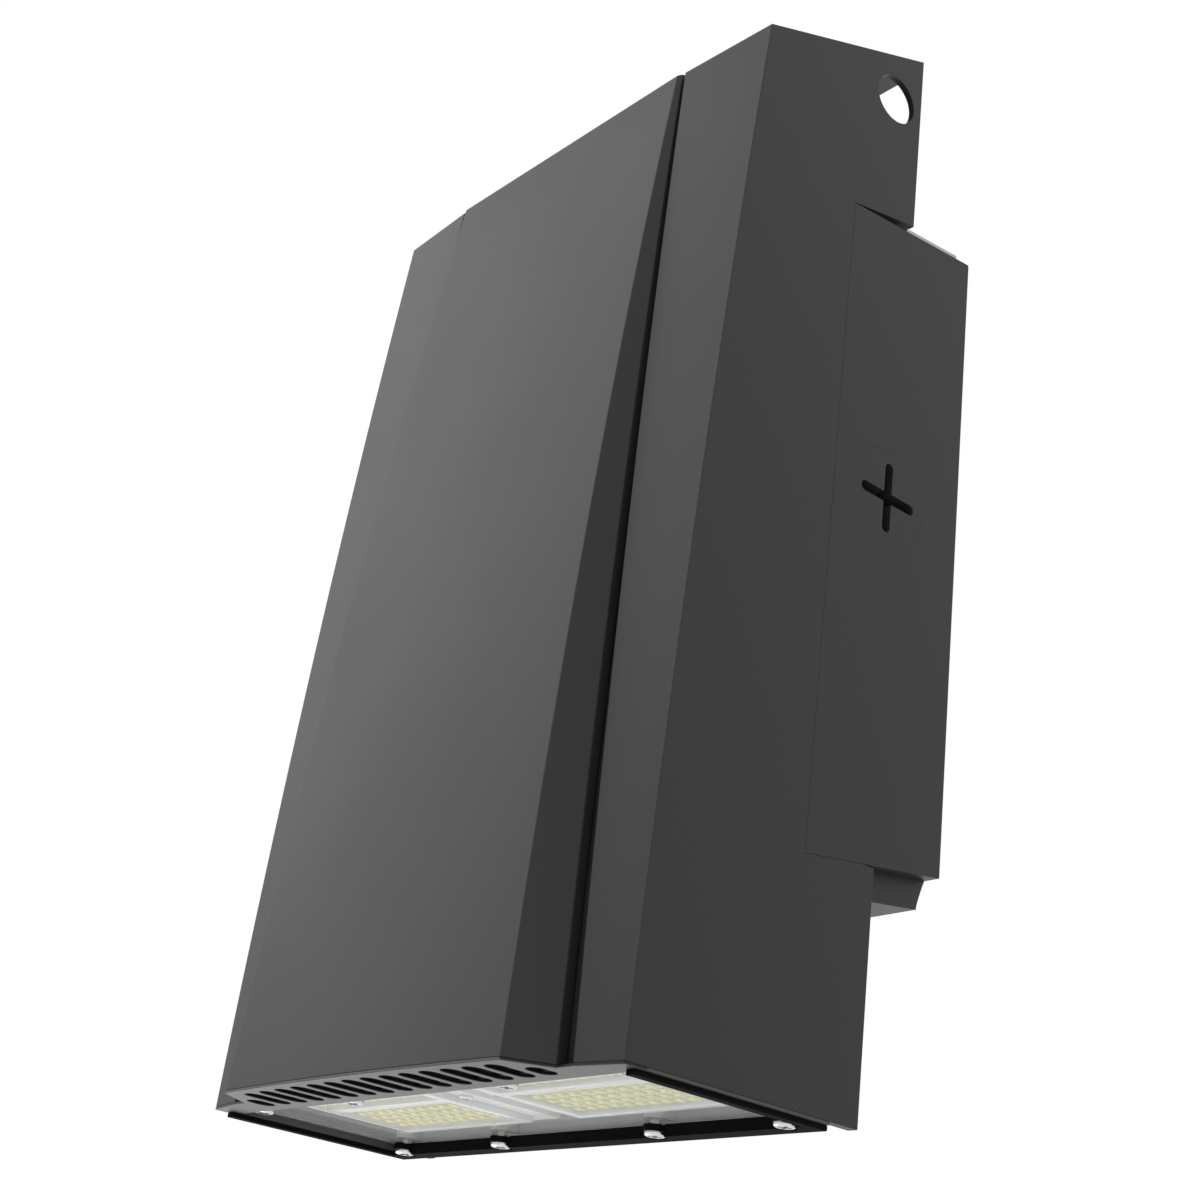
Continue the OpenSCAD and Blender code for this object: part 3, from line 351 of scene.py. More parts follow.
def cut(piece, *tools):
    return combine(piece, tools, "DIFFERENCE")


def weld(piece, *tools):
    return combine(piece, tools, "UNION")


def rounded(piece, width, segments=2, angle=30):
    """Rounds every edge that is sharper than the angle."""
    return apply(
        piece, "BEVEL", width=width, segments=segments, limit_method="ANGLE",
        angle_limit=math.radians(angle), use_clamp_overlap=True, miter_outer="MITER_ARC",
    )


def smooth(piece, angle=32):
    """Smooth shading that keeps large faces flat beside their rounded edges."""
    activate(piece)
    bpy.ops.object.shade_smooth_by_angle(angle=math.radians(angle))
    return apply(piece, "WEIGHTED_NORMAL", weight=100, keep_sharp=True)


def joined(name, pieces):
    deselect()
    for piece in pieces:
        piece.select_set(True)
    bpy.context.view_layer.objects.active = pieces[0]
    bpy.ops.object.join()
    return named(pieces[0], name)


def copy_of(piece, matrix):
    """A copy with its own mesh, placed by a matrix in the mesh itself."""
    twin = piece.copy()
    twin.data = piece.data.copy()
    twin.data.transform(matrix)
    if matrix.determinant() < 0:
        twin.data.flip_normals()
    bpy.context.scene.collection.objects.link(twin)
    return twin


def both(*pieces):
    """Mirror images on the left, and the pieces themselves."""
    return [copy_of(piece, MIRROR) for piece in pieces] + list(pieces)


def drill(piece, places, low, high, diameter, sides=32):
    """Drills upright holes from one height to another."""
    return cut(piece, *[
        rod("hole", (*place, low - PAST), "Z", diameter, 2 * PAST + high - low, sides) for place in places
    ])


def middle(name):
    """Middle of a frame node's box, seen from the side."""
    low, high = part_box(name)
    return (low.y + high.y) / 2, (low.z + high.z) / 2


def pairs(*distances):
    """Each distance to the right and to the left."""
    return [side * x for x in distances for side in (-1, 1)]


def softened(node, name, width):
    """A copy of a frame node with its flat faces joined up and its edges rounded."""
    piece = named(copy_of(node, node.matrix_world), name)
    piece.matrix_world = Matrix.Identity(4)
    activate(piece)
    with editing():
        bpy.ops.mesh.remove_doubles(threshold=0.001 * MM)
        bpy.ops.mesh.dissolve_limited(angle_limit=math.radians(1))
    return smooth(rounded(piece, width))


def both_sides(half):
    """A half outline on the right and its mirror image on the left."""
    return list(half) + [(-x, y) for x, y in reversed(half)]


def capsule(x, low, high, width, steps=8):
    """Outline of a slot with round ends along Y."""
    radius, outline = width / 2, []
    for y, start in ((high - radius, 0), (low + radius, math.pi)):
        for i in range(steps + 1):
            angle = start + math.pi * i / steps
            outline.append((x + radius * math.cos(angle), y + radius * math.sin(angle)))
    return outline


def dress(piece, body, slot, *nodes):
    """Gives a finished piece its material and its body, and hides the frame nodes it stands for."""
    piece.data.materials.clear()
    piece.data.materials.append(FINISHES[slot])
    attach(piece, body)
    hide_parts(*nodes)
    return piece


# Shader maths and finishes


class Value:
    """A shader socket that takes part in Python expressions."""

    def __init__(self, tree, socket):
        self.tree, self.socket = tree, socket

    def maths(self, operation, *others):
        node = self.tree.nodes.new("ShaderNodeMath")
        node.operation = operation
        for entry, value in zip(node.inputs, (self, *others)):
            if isinstance(value, Value):
                self.tree.links.new(value.socket, entry)
            else:
                entry.default_value = value
        return Value(self.tree, node.outputs[0])

    def __add__(self, other):
        return self.maths("ADD", other)

    def __mul__(self, other):
        return self.maths("MULTIPLY", other)

    def __sub__(self, other):
        return self.maths("SUBTRACT", other)

    def __rsub__(self, other):
        return (self * -1) + other

    def clamped(self, low=0.0, high=1.0):
        return self.maths("MAXIMUM", low).maths("MINIMUM", high)


# The Mix node's colour sockets share their names with others, so they go by number
MIX_FIRST, MIX_SECOND, MIX_RESULT = 6, 7, 2


class Finish:
    """A material under construction: its nodes, and the inputs of its main shader."""

    def __init__(self, name, base, roughness, metallic=0.0, **constants):
        self.material = bpy.data.materials.new(name)
        self.material.use_nodes = True
        self.tree = self.material.node_tree
        self.shader = self.tree.nodes["Principled BSDF"]
        self.put("Base Color", (*base, 1))
        self.put("Roughness", roughness)
        self.put("Metallic", metallic)
        for key, value in constants.items():
            self.put(key.replace("_", " "), value)
        self.base = (*base, 1)

    def put(self, entry, value):
        self.fill(self.shader.inputs[entry], value)

    def fill(self, entry, value):
        if isinstance(value, Value):
            self.tree.links.new(value.socket, entry)
        else:
            entry.default_value = value

    def node(self, kind, output, settings, entries):
        """Any node: its settings first, then the values or links of its sockets by name or number."""
        node = self.tree.nodes.new(kind)
        for key, value in settings.items():
            setattr(node, key, value)
        for key, value in entries.items():
            self.fill(node.inputs[key], value)
        return Value(self.tree, node.outputs[output])

    def place(self, stretch=(1, 1, 1)):
        coords = self.node("ShaderNodeTexCoord", "Object", {}, {})
        return self.node("ShaderNodeMapping", "Vector", {}, {"Vector": coords, "Scale": stretch})

    def noise(self, scale, detail=3.0, stretch=(1, 1, 1)):
        entries = {"Vector": self.place(stretch), "Scale": scale, "Detail": detail}
        return self.node("ShaderNodeTexNoise", "Fac", {}, entries)

    def bump(self, height, distance):
        entries = {"Height": height, "Distance": distance}
        self.put("Normal", self.node("ShaderNodeBump", "Normal", {}, entries))

    def axis(self, index):
        """One of the piece's own coordinates, in metres."""
        coords = self.node("ShaderNodeTexCoord", "Object", {}, {})
        return self.node("ShaderNodeSeparateXYZ", index, {}, {"Vector": coords})

    def tint(self, mask, other):
        """Base colour that goes towards another colour where the mask is high."""
        self.base = self.node(
            "ShaderNodeMix", MIX_RESULT, {"data_type": "RGBA"},
            {"Factor": mask, MIX_FIRST: self.base, MIX_SECOND: (*other, 1)},
        )
        self.put("Base Color", self.base)


def shade(value, factor):
    return tuple(min(1.0, part * factor) for part in value)


def beyond(value, limit, soft=0.05 * MM):
    """Mask that is one where the value is over the limit."""
    return ((value - limit) * (1 / soft)).clamped()


def coated(name, base, roughness=0.42, gloss=0.25):
    """Baked powder paint: faint orange peel, fine speckle and slow changes of gloss."""
    finish = Finish(name, base, roughness, Specular_IOR_Level=gloss)
    peel = finish.noise(950, 2.0)
    fine = finish.noise(4200, 2.0)
    slow = finish.noise(14, 3.0)
    finish.put("Roughness", (slow * 0.10 + fine * 0.06 + (roughness - 0.08)).clamped(0.05, 1))
    finish.tint((slow * 0.5 + fine * 0.5 - 0.25).clamped(), shade(base, 1.25))
    finish.bump(peel * 0.7 + fine * 0.3, 0.00004)
    return finish


def powder_coat(*settings):
    return coated(*settings).material


def frame_coat_with_painted_light(name, base, roughness):
    """Powder paint with painted shade and light: black painted shade on the air slots' walls, pale grey
    painted light above the lens, and a black band at its sides that is a seal and painted shade.
    """
    head, engine = Head(), Engine()
    finish = coated(name, base, roughness)
    x, y, z = [finish.axis(index) for index in range(3)]
    # The black is painted shade in the slots and colours the side band, which is a seal and painted shade;
    # the pale grey is painted light
    black, painted_light_grey = (0.002, 0.002, 0.002), (0.30, 0.30, 0.29)
    lens_z = engine.lens_high.z + engine.sizes.edge
    chamber = beyond(y, engine.front)
    # Painted shade: the walls of the air slots turn black, where shade falls inside the slots
    slots = beyond(z, engine.low.z + engine.sizes.edge) * beyond(y, head.cover(head.foot))
    finish.tint(slots * (1 - chamber), black)
    # Painted light: the frame's inside above the lens is coloured pale grey
    above = beyond(z, lens_z) * chamber
    finish.tint(above, painted_light_grey)
    # Black band on the walls beside the lens up to this height: a seal, and painted shade on the walls' inner
    # faces
    outer_x = beyond(x.maths("ABSOLUTE"), engine.inner_x - engine.sizes.upstand - FIT)
    finish.tint(above * outer_x * (1 - beyond(z, lens_z + engine.sizes.seal_and_shade_h)), black)
    return finish.material


def bare_metal(name, base, roughness, stretch=(1, 1, 1), grain=600):
    """Bare or plated metal with drawn or rolled grain and faint stains."""
    finish = Finish(name, base, roughness, 1.0)
    lines = finish.noise(grain, 4.0, stretch)
    stains = finish.noise(45, 4.0)
    finish.put("Roughness", (lines * 0.18 + stains * 0.16 + (roughness - 0.17)).clamped(0.05, 1))
    finish.tint((stains * 0.8 - 0.1).clamped(), shade(base, 0.78))
    finish.bump(lines, 0.00002)
    return finish.material


def moulded(name, base, roughness, grain=1800, depth=0.00002, **constants):
    """Moulded plastic or silicone with a fine skin."""
    finish = Finish(name, base, roughness, **constants)
    skin = finish.noise(grain, 2.0)
    dust = finish.noise(60, 4.0)
    finish.put("Roughness", (dust * 0.16 + (roughness - 0.08)).clamped(0.02, 1))
    finish.tint((dust * 0.6 - 0.1).clamped(), shade(base, 1.18))
    finish.bump(skin, depth)
    return finish.material


def clear_lens(name):
    """Clear lens: mostly see-through, with faint dust and a glossy face."""
    finish = Finish(name, (0.86, 0.88, 0.87), 0.04, Specular_IOR_Level=0.5, IOR=1.5)
    dust = finish.noise(80, 5.0)
    finish.put("Alpha", (dust * 0.08 + 0.12).clamped())
    finish.put("Roughness", (dust * 0.05 + 0.02).clamped())
    return finish.material


def solder_mask(name, base, trace):
    """Pale board with faint copper tracks under its mask."""
    finish = Finish(name, base, 0.35)
    tracks = finish.node("ShaderNodeTexBrick", "Fac", {}, {
        "Vector": finish.place(), "Scale": 204.0, "Mortar Size": 0.03,
        "Brick Width": 1.0, "Row Height": 1.0,
    })
    mottle = finish.noise(220, 3.0)
    finish.tint((tracks * 0.7 + mottle * 0.2).clamped(), trace)
    finish.bump(tracks, 0.00003)
    return finish.material


def phosphor(name, base):
    """Yellow phosphor under clear resin, a little uneven."""
    finish = Finish(name, base, 0.35, Coat_Weight=0.15, Coat_Roughness=0.1)
    grain = finish.noise(2600, 2.0)
    spread = finish.noise(160, 2.0)
    finish.tint((grain * 0.5 + spread * 0.5).clamped(), shade(base, 0.72))
    finish.bump(grain, 0.00002)
    return finish.material


def make_finishes(colours):
    steel = tuple(colours.steel)
    return dict(
        paint=powder_coat("bronze_grey_powder_coat", tuple(colours.paint)),
        engine_paint=frame_coat_with_painted_light("engine_grey_coat_with_painted_shade", tuple(colours.engine), 0.36),
        zinc=bare_metal("zinc_plated_sheet", (0.40, 0.41, 0.42), 0.42, stretch=(1, 6, 1)),
        steel=bare_metal("bright_steel", steel, 0.24, grain=1500),
        green_screw=powder_coat("green_earth_screw", (0.04, 0.30, 0.09), 0.35),
        aluminium=bare_metal("extruded_aluminium", (0.68, 0.69, 0.70), 0.38, stretch=(8, 0.4, 8)),
        rubber=moulded("black_silicone", tuple(colours.black), 0.6, Specular_IOR_Level=0.01),
        white_plastic=moulded("white_moulding", (0.70, 0.70, 0.67), 0.42),
        black_plastic=moulded("black_moulding", (0.02, 0.02, 0.02), 0.38),
        pad=moulded("thermal_pad", (0.5, 0.51, 0.53), 0.7, grain=900),
        board=solder_mask("pale_board", tuple(colours.board), (0.50, 0.50, 0.44)),
        phosphor=phosphor("yellow_phosphor", tuple(colours.phosphor)),
        reflector=moulded("pale_reflector", tuple(colours.reflector), 0.25, Coat_Weight=0.4),
        lens=clear_lens("clear_lens"),
    )


# Shapes shared by the pieces


class Head:
    """Outlines of the head at any height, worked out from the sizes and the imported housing."""

    def __init__(self):
        low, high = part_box("housing")
        self.sizes = bpy.context.scene.wall_pack_head
        self.foot, self.rear, self.half = low.z, high.y, high.x

    def share(self, z):
        return (z - self.foot) / self.sizes.front_h

    def between(self, low, high, z):
        return low + (high - low) * self.share(z)

    def bow(self, size, z):
        return 4 * size * self.share(z) * (1 - self.share(z))

    def side(self, z):
        s = self.sizes
        return self.rear - self.between(s.side_low, s.side_high, z) - self.bow(s.side_bow, z)

    def wing(self, z):
        return self.side(z) - self.sizes.wing_rise

    def wing_x(self, z):
        return self.half - self.between(self.sizes.wing_low, self.sizes.wing_high, z)

    def deck(self, z):
        return self.wing(z) + self.sizes.groove_depth

    def flank_x(self, z):
        return self.wing_x(z) - self.between(self.sizes.groove_low, self.sizes.groove_high, z)

    def cover(self, z):
        s = self.sizes
        return self.rear - self.between(s.cover_out_low, s.cover_out_high, z) - self.bow(s.cover_bow, z)

    def cover_x(self, z):
        return self.between(self.sizes.cover_low, self.sizes.cover_high, z) / 2

    def crown(self, z):
        return self.sizes.cover_crown * max(0.0, 1 - self.share(z))

    def top(self, y):
        rise = (y - self.rear + self.sizes.side_high) * math.tan(self.sizes.top_slope)
        return self.foot + self.sizes.front_h + rise

    def top_plane(self, depth):
        """A point and the normal of the plane this deep below the sloped top."""
        slope = self.sizes.top_slope
        point = (0, self.rear, self.top(self.rear) - depth / math.cos(slope))
        return point, (0, -math.sin(slope), math.cos(slope))

    def levels(self, low):
        height = self.top(self.rear) + OVER_TOP - self.foot
        return [low] + [self.foot + height * i / OUTLINES for i in range(1, OUTLINES + 1)]

    def casting(self, name, outline, wall, back, gap=0):
        """A hollow casting under the sloped top, open at the rear and at the foot."""
        shell = lofted(name, lambda z: outline(z, 0, back(z) - gap), self.levels(self.foot))
        trim(shell, *self.top_plane(0))
        rounded(shell, self.sizes.edge, 2, SLIGHT)
        hollow = lofted("hollow", lambda z: outline(z, wall, back(z) + PAST), self.levels(self.foot - PAST))
        return cut(shell, trim(hollow, *self.top_plane(wall)))

    def body_outline(self, z, wall, back):
        return both_sides([
            (self.half - wall, back),
            (self.half - wall, self.side(z) + wall),
            (self.wing_x(z) + wall, self.wing(z) + wall),
            (self.wing_x(z) + wall, self.deck(z) + wall),
        ])

    def crowned_front(self, z, wall, steps):
        """The cover's front from its right edge to just short of the middle."""
        for i in range(steps):
            part = 1 - i / steps
            yield (self.cover_x(z) - wall) * part, self.cover(z) + wall - self.crown(z) * (1 - part * part)

    def cover_outline(self, z, wall, back, steps=10):
        right = [(self.flank_x(z) - wall, back), (self.flank_x(z) - wall, self.wing(z) + wall)]
        return both_sides(right + list(self.crowned_front(z, wall, steps)))

    def front_edge(self, x, reach):
        """The cover's lower front edge at a distance from the middle, or its flank where that comes first."""
        z, outer = self.foot, x + reach
        corner = self.cover_x(z)
        if outer < corner:
            return self.cover(z) - self.crown(z) * (1 - (x / corner) ** 2)
        flank_share = (outer - corner) / (self.flank_x(z) - corner)
        return self.cover(z) + (self.wing(z) - self.cover(z)) * flank_share

    def foot_outline(self, back, steps=10):
        z = self.foot
        right = [(self.half, back), (self.half, self.side(z)), (self.wing_x(z), self.wing(z))]
        return both_sides(right + [(self.flank_x(z), self.wing(z))] + list(self.crowned_front(z, 0, steps)))


class Box:
    """Outline of the wiring box from the side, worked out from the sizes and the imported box."""

    def __init__(self):
        low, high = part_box("back_box")
        self.sizes = bpy.context.scene.wall_pack_box
        self.front, self.wall, self.half = low.y, high.y, high.x
        self.neck_foot, self.crest = low.z, high.z

    def top(self, y):
        return self.crest + self.sizes.fall * (y - self.wall) / (self.wall - self.front)

    def foot(self, y):
        return -self.sizes.foot + self.sizes.dip * (y - self.wall) / (self.wall - self.front)

    def cove(self, steps=9):
        """The neck's rear, a hollow curve from the wall face down to its lower rear edge."""
        off = self.sizes.neck_off
        high, low = self.foot(self.wall), self.foot(-off) - self.sizes.neck_h
        for i in range(steps + 1):
            part = i / steps
            depth = COVE_START + (1 - COVE_START) * (1 - (1 - part) ** COVE_CURVE)
            yield -off * depth, high + (low - high) * part


# Pieces


class WALLPACK_OT_housing(bpy.types.Operator):
    """Cast head: side walls, wings, grooves, deck and sloped top"""

    bl_idname = "wallpack.housing"
    bl_label = "Housing"

    def execute(self, context):
        head, box, sizes = Head(), Box(), context.scene.wall_pack_head
        shell = head.casting("housing_shell", head.body_outline, sizes.wall, lambda z: head.rear)
        slit_front = (box.front, box.top(box.front) + sizes.seam)
        slit_rear = (head.rear, box.top(head.rear) + sizes.seam + sizes.slit_rise)
        ledge = prism(
            "ledge",
            [slit_front, slit_rear, (slit_rear[0], slit_rear[1] + sizes.ledge_t),
             (slit_front[0], slit_front[1] + sizes.ledge_t)],
            "X", head.half - sizes.ledge_w, head.half - sizes.wall / 2,
        )
        weld(shell, *both(ledge))
        relief_y = head.rear - sizes.relief_l
        cut(shell, prism(
            "notch",
            [(box.front - sizes.seam, box.foot(box.front) - sizes.seam),
             (box.front - sizes.seam, slit_front[1]), slit_rear, (head.rear + PAST, slit_rear[1]),
             (head.rear + PAST, box.foot(head.rear) - sizes.seam - sizes.corner_relief),
             (relief_y, box.foot(relief_y) - sizes.seam)],
            "X", -head.half - PAST, head.half + PAST,
        ))
        hole_y = head.rear - sizes.hole_in
        inner = 2 * sizes.wall
        place = (head.half - inner, hole_y, sizes.hole_z)
        hole = rod("hole", place, "X", sizes.hole_d, inner + sizes.wall, 72)
        thinned = rod("thinned", place, "X", sizes.hole_d + sizes.hole_rim, inner - sizes.hole_land, 72)
        cut(shell, *both(hole, thinned))
        y0, y1 = hole_y - sizes.lug_w / 2, hole_y + sizes.lug_w / 2
        foot, sink = sizes.hole_z - sizes.lug_drop, sizes.wall / 2
        lug = prism(
            "lug", [(y0, foot), (y1, foot), (y1, head.top(y1) - sink), (y0, head.top(y0) - sink)],
            "X", sizes.lug_x, sizes.lug_x + sizes.lug_t,
        )
        rounded(lug, sizes.edge)
        weld(shell, *both(lug))
        smooth(shell)
        dress(shell, "head", "paint", "housing")
        return {"FINISHED"}


class WALLPACK_OT_cover(bpy.types.Operator):
    """Raised front cover with its crowned face and flanks"""

    bl_idname = "wallpack.cover"
    bl_label = "Front cover"

    def execute(self, context):
        head = Head()
        shell = head.casting(
            "front_cover_shell", head.cover_outline, head.sizes.cover_wall, head.deck, FIT
        )
        smooth(shell)
        dress(shell, "head", "paint", "front_cover")
        return {"FINISHED"}


class WALLPACK_OT_box(bpy.types.Operator):
    """Wiring box with its neck, hinge pockets, wall screw holes and wire entries"""

    bl_idname = "wallpack.box"
    bl_label = "Wiring box"

    def execute(self, context):
        box, sizes = Box(), context.scene.wall_pack_box
        shell = prism(
            "wiring_box",
            [(box.wall, box.foot(box.wall)), (box.wall, box.crest - sizes.corner),
             (box.wall - sizes.corner, box.top(box.wall - sizes.corner)),
             (box.front, box.top(box.front)), (box.front, box.foot(box.front))],
            "X", -box.half, box.half,
        )
        rounded(shell, sizes.edge, 3, SQUARE)
        neck_x, neck_top = box.half - sizes.neck_inset, box.foot(box.wall)
        neck = prism(
            "neck",
            [(box.front, box.neck_foot), (box.front, neck_top), (box.wall - sizes.corner, neck_top)]
            + list(box.cove()),
            "X", -neck_x, neck_x,
        )
        weld(shell, rounded(neck, sizes.edge, 2, SQUARE))
        rim_x = box.half - sizes.rim
        floor, roof = box.foot(box.wall) + sizes.rim, box.top(box.front) - sizes.rim
        cut(shell, block("room", (-rim_x, box.front - PAST, floor), (rim_x, box.wall - sizes.back, roof)))
        ear_x = sizes.hinge_x - sizes.pocket_w / 2 - sizes.ear_t
        cut(shell, block(
            "neck_room", (-ear_x, box.front - PAST, -sizes.foot - sizes.neck_h + sizes.neck_wall),
            (ear_x, -sizes.neck_off - sizes.neck_wall, floor - sizes.neck_wall),
        ))
        plug_low, plug_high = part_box("plug_right")
        plug = middle("plug_right")
        boss_x = box.half - sizes.boss_t
        boss = rod("boss", (boss_x, *plug), "X", sizes.boss_d, sizes.boss_t - sizes.edge)
        weld(shell, *both(boss))
        shank = sizes.plug_shank + FIT
        seat = plug_high.z - plug_low.z + 2 * sizes.plug_seam
        tools = [
            rod("hole", (boss_x - sizes.boss_t, *plug), "X", shank, 3 * sizes.boss_t),
            rod("seat", (box.half - sizes.plug_face - SEAT_ROOM, *plug), "X", seat, PAST),
        ]
        hinge_y, hinge_z = middle("hinge_pins")
        tools.append(block(
            "pocket", (sizes.hinge_x - sizes.pocket_w / 2, box.front - PAST, box.neck_foot - PAST),
            (sizes.hinge_x + sizes.pocket_w / 2, hinge_y + sizes.pocket_d / 2, hinge_z + sizes.pocket_d / 2),
        ))
        tools += [copy_of(tool, MIRROR) for tool in tools]
        y, depth = box.wall - sizes.back - PAST, sizes.back + 2 * PAST
        tools += [rod("hole", (x, y, z), "Y", sizes.bolt_d, depth, 48)
                  for x in pairs(sizes.bolt_x / 2) for z in pairs(sizes.bolt_z / 2)]
        tools += [rod("hole", (x, y, 0), "Y", sizes.junction_d, depth, 48)
                  for x in pairs(sizes.junction_x / 2)]
        tools.append(rod("entry", (0, y, 0), "Y", sizes.entry_d, depth, 72))
        out, inn = sizes.seal_in, sizes.seal_in + sizes.seal_w
        foot, crest = -sizes.foot, box.crest
        seal = block(
            "seal", (-box.half + out, -sizes.seal_t, foot + out), (box.half - out, PAST, crest - out)
        )
        cut(seal, block(
            "seal_inside", (-box.half + inn, -PAST, foot + inn), (box.half - inn, 2 * PAST, crest - inn)
        ))
        cut(shell, seal, *tools)
        smooth(shell)
        dress(shell, "base", "paint", "back_box")
        return {"FINISHED"}


class WALLPACK_OT_plugs(bpy.types.Operator):
    """Flush side plugs with a cross recess"""

    bl_idname = "wallpack.plugs"
    bl_label = "Side plugs"

    def execute(self, context):
        sizes = context.scene.wall_pack_box
        low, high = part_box("plug_right")
        y, z = middle("plug_right")
        face_x, shank_end = high.x - sizes.plug_face, high.x - sizes.plug_face + sizes.plug_seam
        plug = rod("plug_right_face", (face_x, y, z), "X", high.z - low.z, sizes.plug_face, 96)
        rounded(plug, sizes.plug_seam)
        weld(plug, rod("shank", (low.x, y, z), "X", sizes.plug_shank, shank_end - low.x))
        bar = capsule(0, -sizes.cross_l / 2, sizes.cross_l / 2, sizes.cross_w)
        for outline in ([(y + v, z + u) for u, v in bar], [(y + u, z + v) for u, v in bar]):
            cut(plug, prism("bar", outline, "X", high.x - sizes.cross_depth, high.x + PAST))
        smooth(plug)
        twin = named(copy_of(plug, MIRROR), "plug_left_face")
        dress(plug, "base", "paint", "plug_right")
        dress(twin, "base", "paint", "plug_left")
        return {"FINISHED"}


class Engine:
    """Places of the light engine's pieces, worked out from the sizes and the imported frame."""

    def __init__(self):
        self.sizes = bpy.context.scene.wall_pack_engine
        head = Head()
        self.low, self.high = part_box("engine_frame")
        self.lens_low, self.lens_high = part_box("lens")
        self.bezel_low, self.bezel_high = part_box("lens_bezel")
        self.foot, self.front, self.rear = head.foot, self.lens_low.y, self.high.y
        self.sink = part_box("heat_sink")[0].z
        self.inner_x = head.half - head.sizes.wall - FIT
        low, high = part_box("lens_screws")
        reach = self.sizes.screw_head / 2
        self.front_places = [(x, low.y + reach) for x in pairs(*self.sizes.front_screws)]
        self.rear_places = [(x, high.y - reach) for x in pairs(*self.sizes.rear_screws)]
        self.screw_places = self.front_places + self.rear_places


class WALLPACK_OT_engine(bpy.types.Operator):
    """Light engine's frame with its air slots, upright walls and screw posts"""

    bl_idname = "wallpack.engine"
    bl_label = "Engine frame"

    def execute(self, context):
        head, engine, sizes = Head(), Engine(), context.scene.wall_pack_engine
        low, rear, x = engine.low.z, engine.rear, engine.inner_x
        plate = prism("engine_frame_cast", head.foot_outline(rear), "Z", low, engine.foot)
        rounded(plate, sizes.edge, 2, SLIGHT)
        wall = sizes.upstand
        ring = block("ring", (-x, engine.front, low + sizes.edge), (x, rear, engine.sink))
        room = (-x + wall, engine.front + wall), (x - wall, rear - wall)
        cut(ring, block("room", (*room[0], low - PAST), (*room[1], engine.sink + PAST)))
        weld(plate, ring)
        cut(plate, block("opening", (*room[0], low - PAST), (*room[1], engine.lens_high.z)))
        pocket_x = x - sizes.frame_rim
        cut(plate, block("pocket", (-pocket_x, engine.front - FIT, low - PAST),
                         (pocket_x, rear + PAST, engine.lens_high.z)))
        seat, radius = engine.lens_high.z, sizes.post_d / 2
        for px, py in engine.screw_places:
            weld(plate, rod("post", (px, py, seat), "Z", sizes.post_d, engine.sink - seat, 40))
            if (px, py) in engine.rear_places:
                tie = block("tie", (px - radius, py, seat), (px + radius, rear - wall / 2, engine.sink))
                weld(plate, tie)
        edge = head.flank_x(head.foot) - sizes.vent_side
        end = head.wing(head.foot) + sizes.vent_end
        for i in range(sizes.vent_count):
            vent_x = edge * (2 * i / (sizes.vent_count - 1) - 1)
            start = head.front_edge(abs(vent_x), sizes.vent_w / 2) + sizes.vent_in
            vent = capsule(vent_x, start, end, sizes.vent_w)
            cut(plate, prism("vent", vent, "Z", low - PAST, engine.foot + PAST))
        smooth(plate)
        dress(plate, "head", "engine_paint", "engine_frame")
        return {"FINISHED"}


class WALLPACK_OT_lens(bpy.types.Operator):
    """Clear lens and the black bezel that clamps it"""

    bl_idname = "wallpack.lens"
    bl_label = "Lens and bezel"

    def execute(self, context):
        engine, sizes = Engine(), context.scene.wall_pack_engine
        low, high = engine.lens_low, engine.lens_high
        pane = rounded(block("lens_pane", low, high), sizes.edge, 3)
        drill(pane, engine.screw_places, low.z, high.z, sizes.screw_d + FIT)
        smooth(pane)
        dress(pane, "head", "lens", "lens")
        low, high = engine.bezel_low, engine.bezel_high
        flange_z = low.z + sizes.bezel_t
        strip = block("bezel_strip", low, (high.x, high.y, flange_z))
        rounded(strip, sizes.edge)
        body = (engine.lens_high.x, engine.rear)
        weld(strip, block("body", (-body[0], engine.front, low.z + sizes.edge), (*body, high.z)))
        inner = engine.inner_x - sizes.bezel_side
        cut(strip, block("inside", (-inner, low.y - PAST, low.z - PAST),
                         (inner, engine.rear - sizes.bezel_rear, high.z + PAST)))
        step, room = low.z + sizes.screw_head_t, sizes.screw_head + 2 * FIT
        drill(strip, engine.screw_places, low.z, high.z, room, 40)
        weld(strip, *[rod("boss", (*place, step), "Z", room + FIT, high.z - step - FIT, 40)
                      for place in engine.rear_places])
        drill(strip, engine.rear_places, low.z, high.z, sizes.screw_d + FIT)
        smooth(strip)
        dress(strip, "head", "rubber", "lens_bezel")
        return {"FINISHED"}


def pan_head(name, sizes, reach):
    """Pan head screw on the origin that points down, with a cross recess."""
    diameter, height = sizes.screw_head, sizes.screw_head_t
    skirt = height * HEAD_SKIRT
    screw = rod(name, (0, 0, -skirt), "Z", diameter, height + skirt, 40)
    apply(
        screw, "BEVEL", width=diameter * HEAD_EDGE, segments=4, limit_method="ANGLE",
        angle_limit=math.radians(60), use_clamp_overlap=True,
    )
    cut(screw, block("underside", (-diameter, -diameter, -diameter), (diameter, diameter, 0)))
    arm, wide = diameter * ARM_REACH, diameter * ARM_WIDE
    for x, y in ((arm, wide), (wide, arm)):
        cut(screw, block("arm", (-x, -y, height * ARM_FLOOR), (x, y, height * 2)))
    return weld(screw, rod("shank", (0, 0, -reach), "Z", sizes.screw_d, reach + height * SHANK_TOP, 24))


class WALLPACK_OT_screws(bpy.types.Operator):
    """Lens screws around the light engine"""

    bl_idname = "wallpack.screws"
    bl_label = "Lens screws"

    def execute(self, context):
        engine, sizes = Engine(), context.scene.wall_pack_engine
        low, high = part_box("lens_screws")
        front, rear = engine.lens_low.z, low.z + sizes.screw_head_t
        base = pan_head("lens_screw", sizes, high.z - front)
        down = Matrix.Rotation(math.pi, 4, "X")
        copies = [
            copy_of(base, Matrix.Translation((*place, seat)) @ down @ Matrix.Rotation(SCREW_TURN * i, 4, "Z"))
            for seat, places in ((front, engine.front_places), (rear, engine.rear_places))
            for i, place in enumerate(places)
        ]
        bpy.data.objects.remove(base, do_unlink=True)
        dress(smooth(joined("lens_screw_set", copies), 40), "head", "steel", "lens_screws")
        return {"FINISHED"}


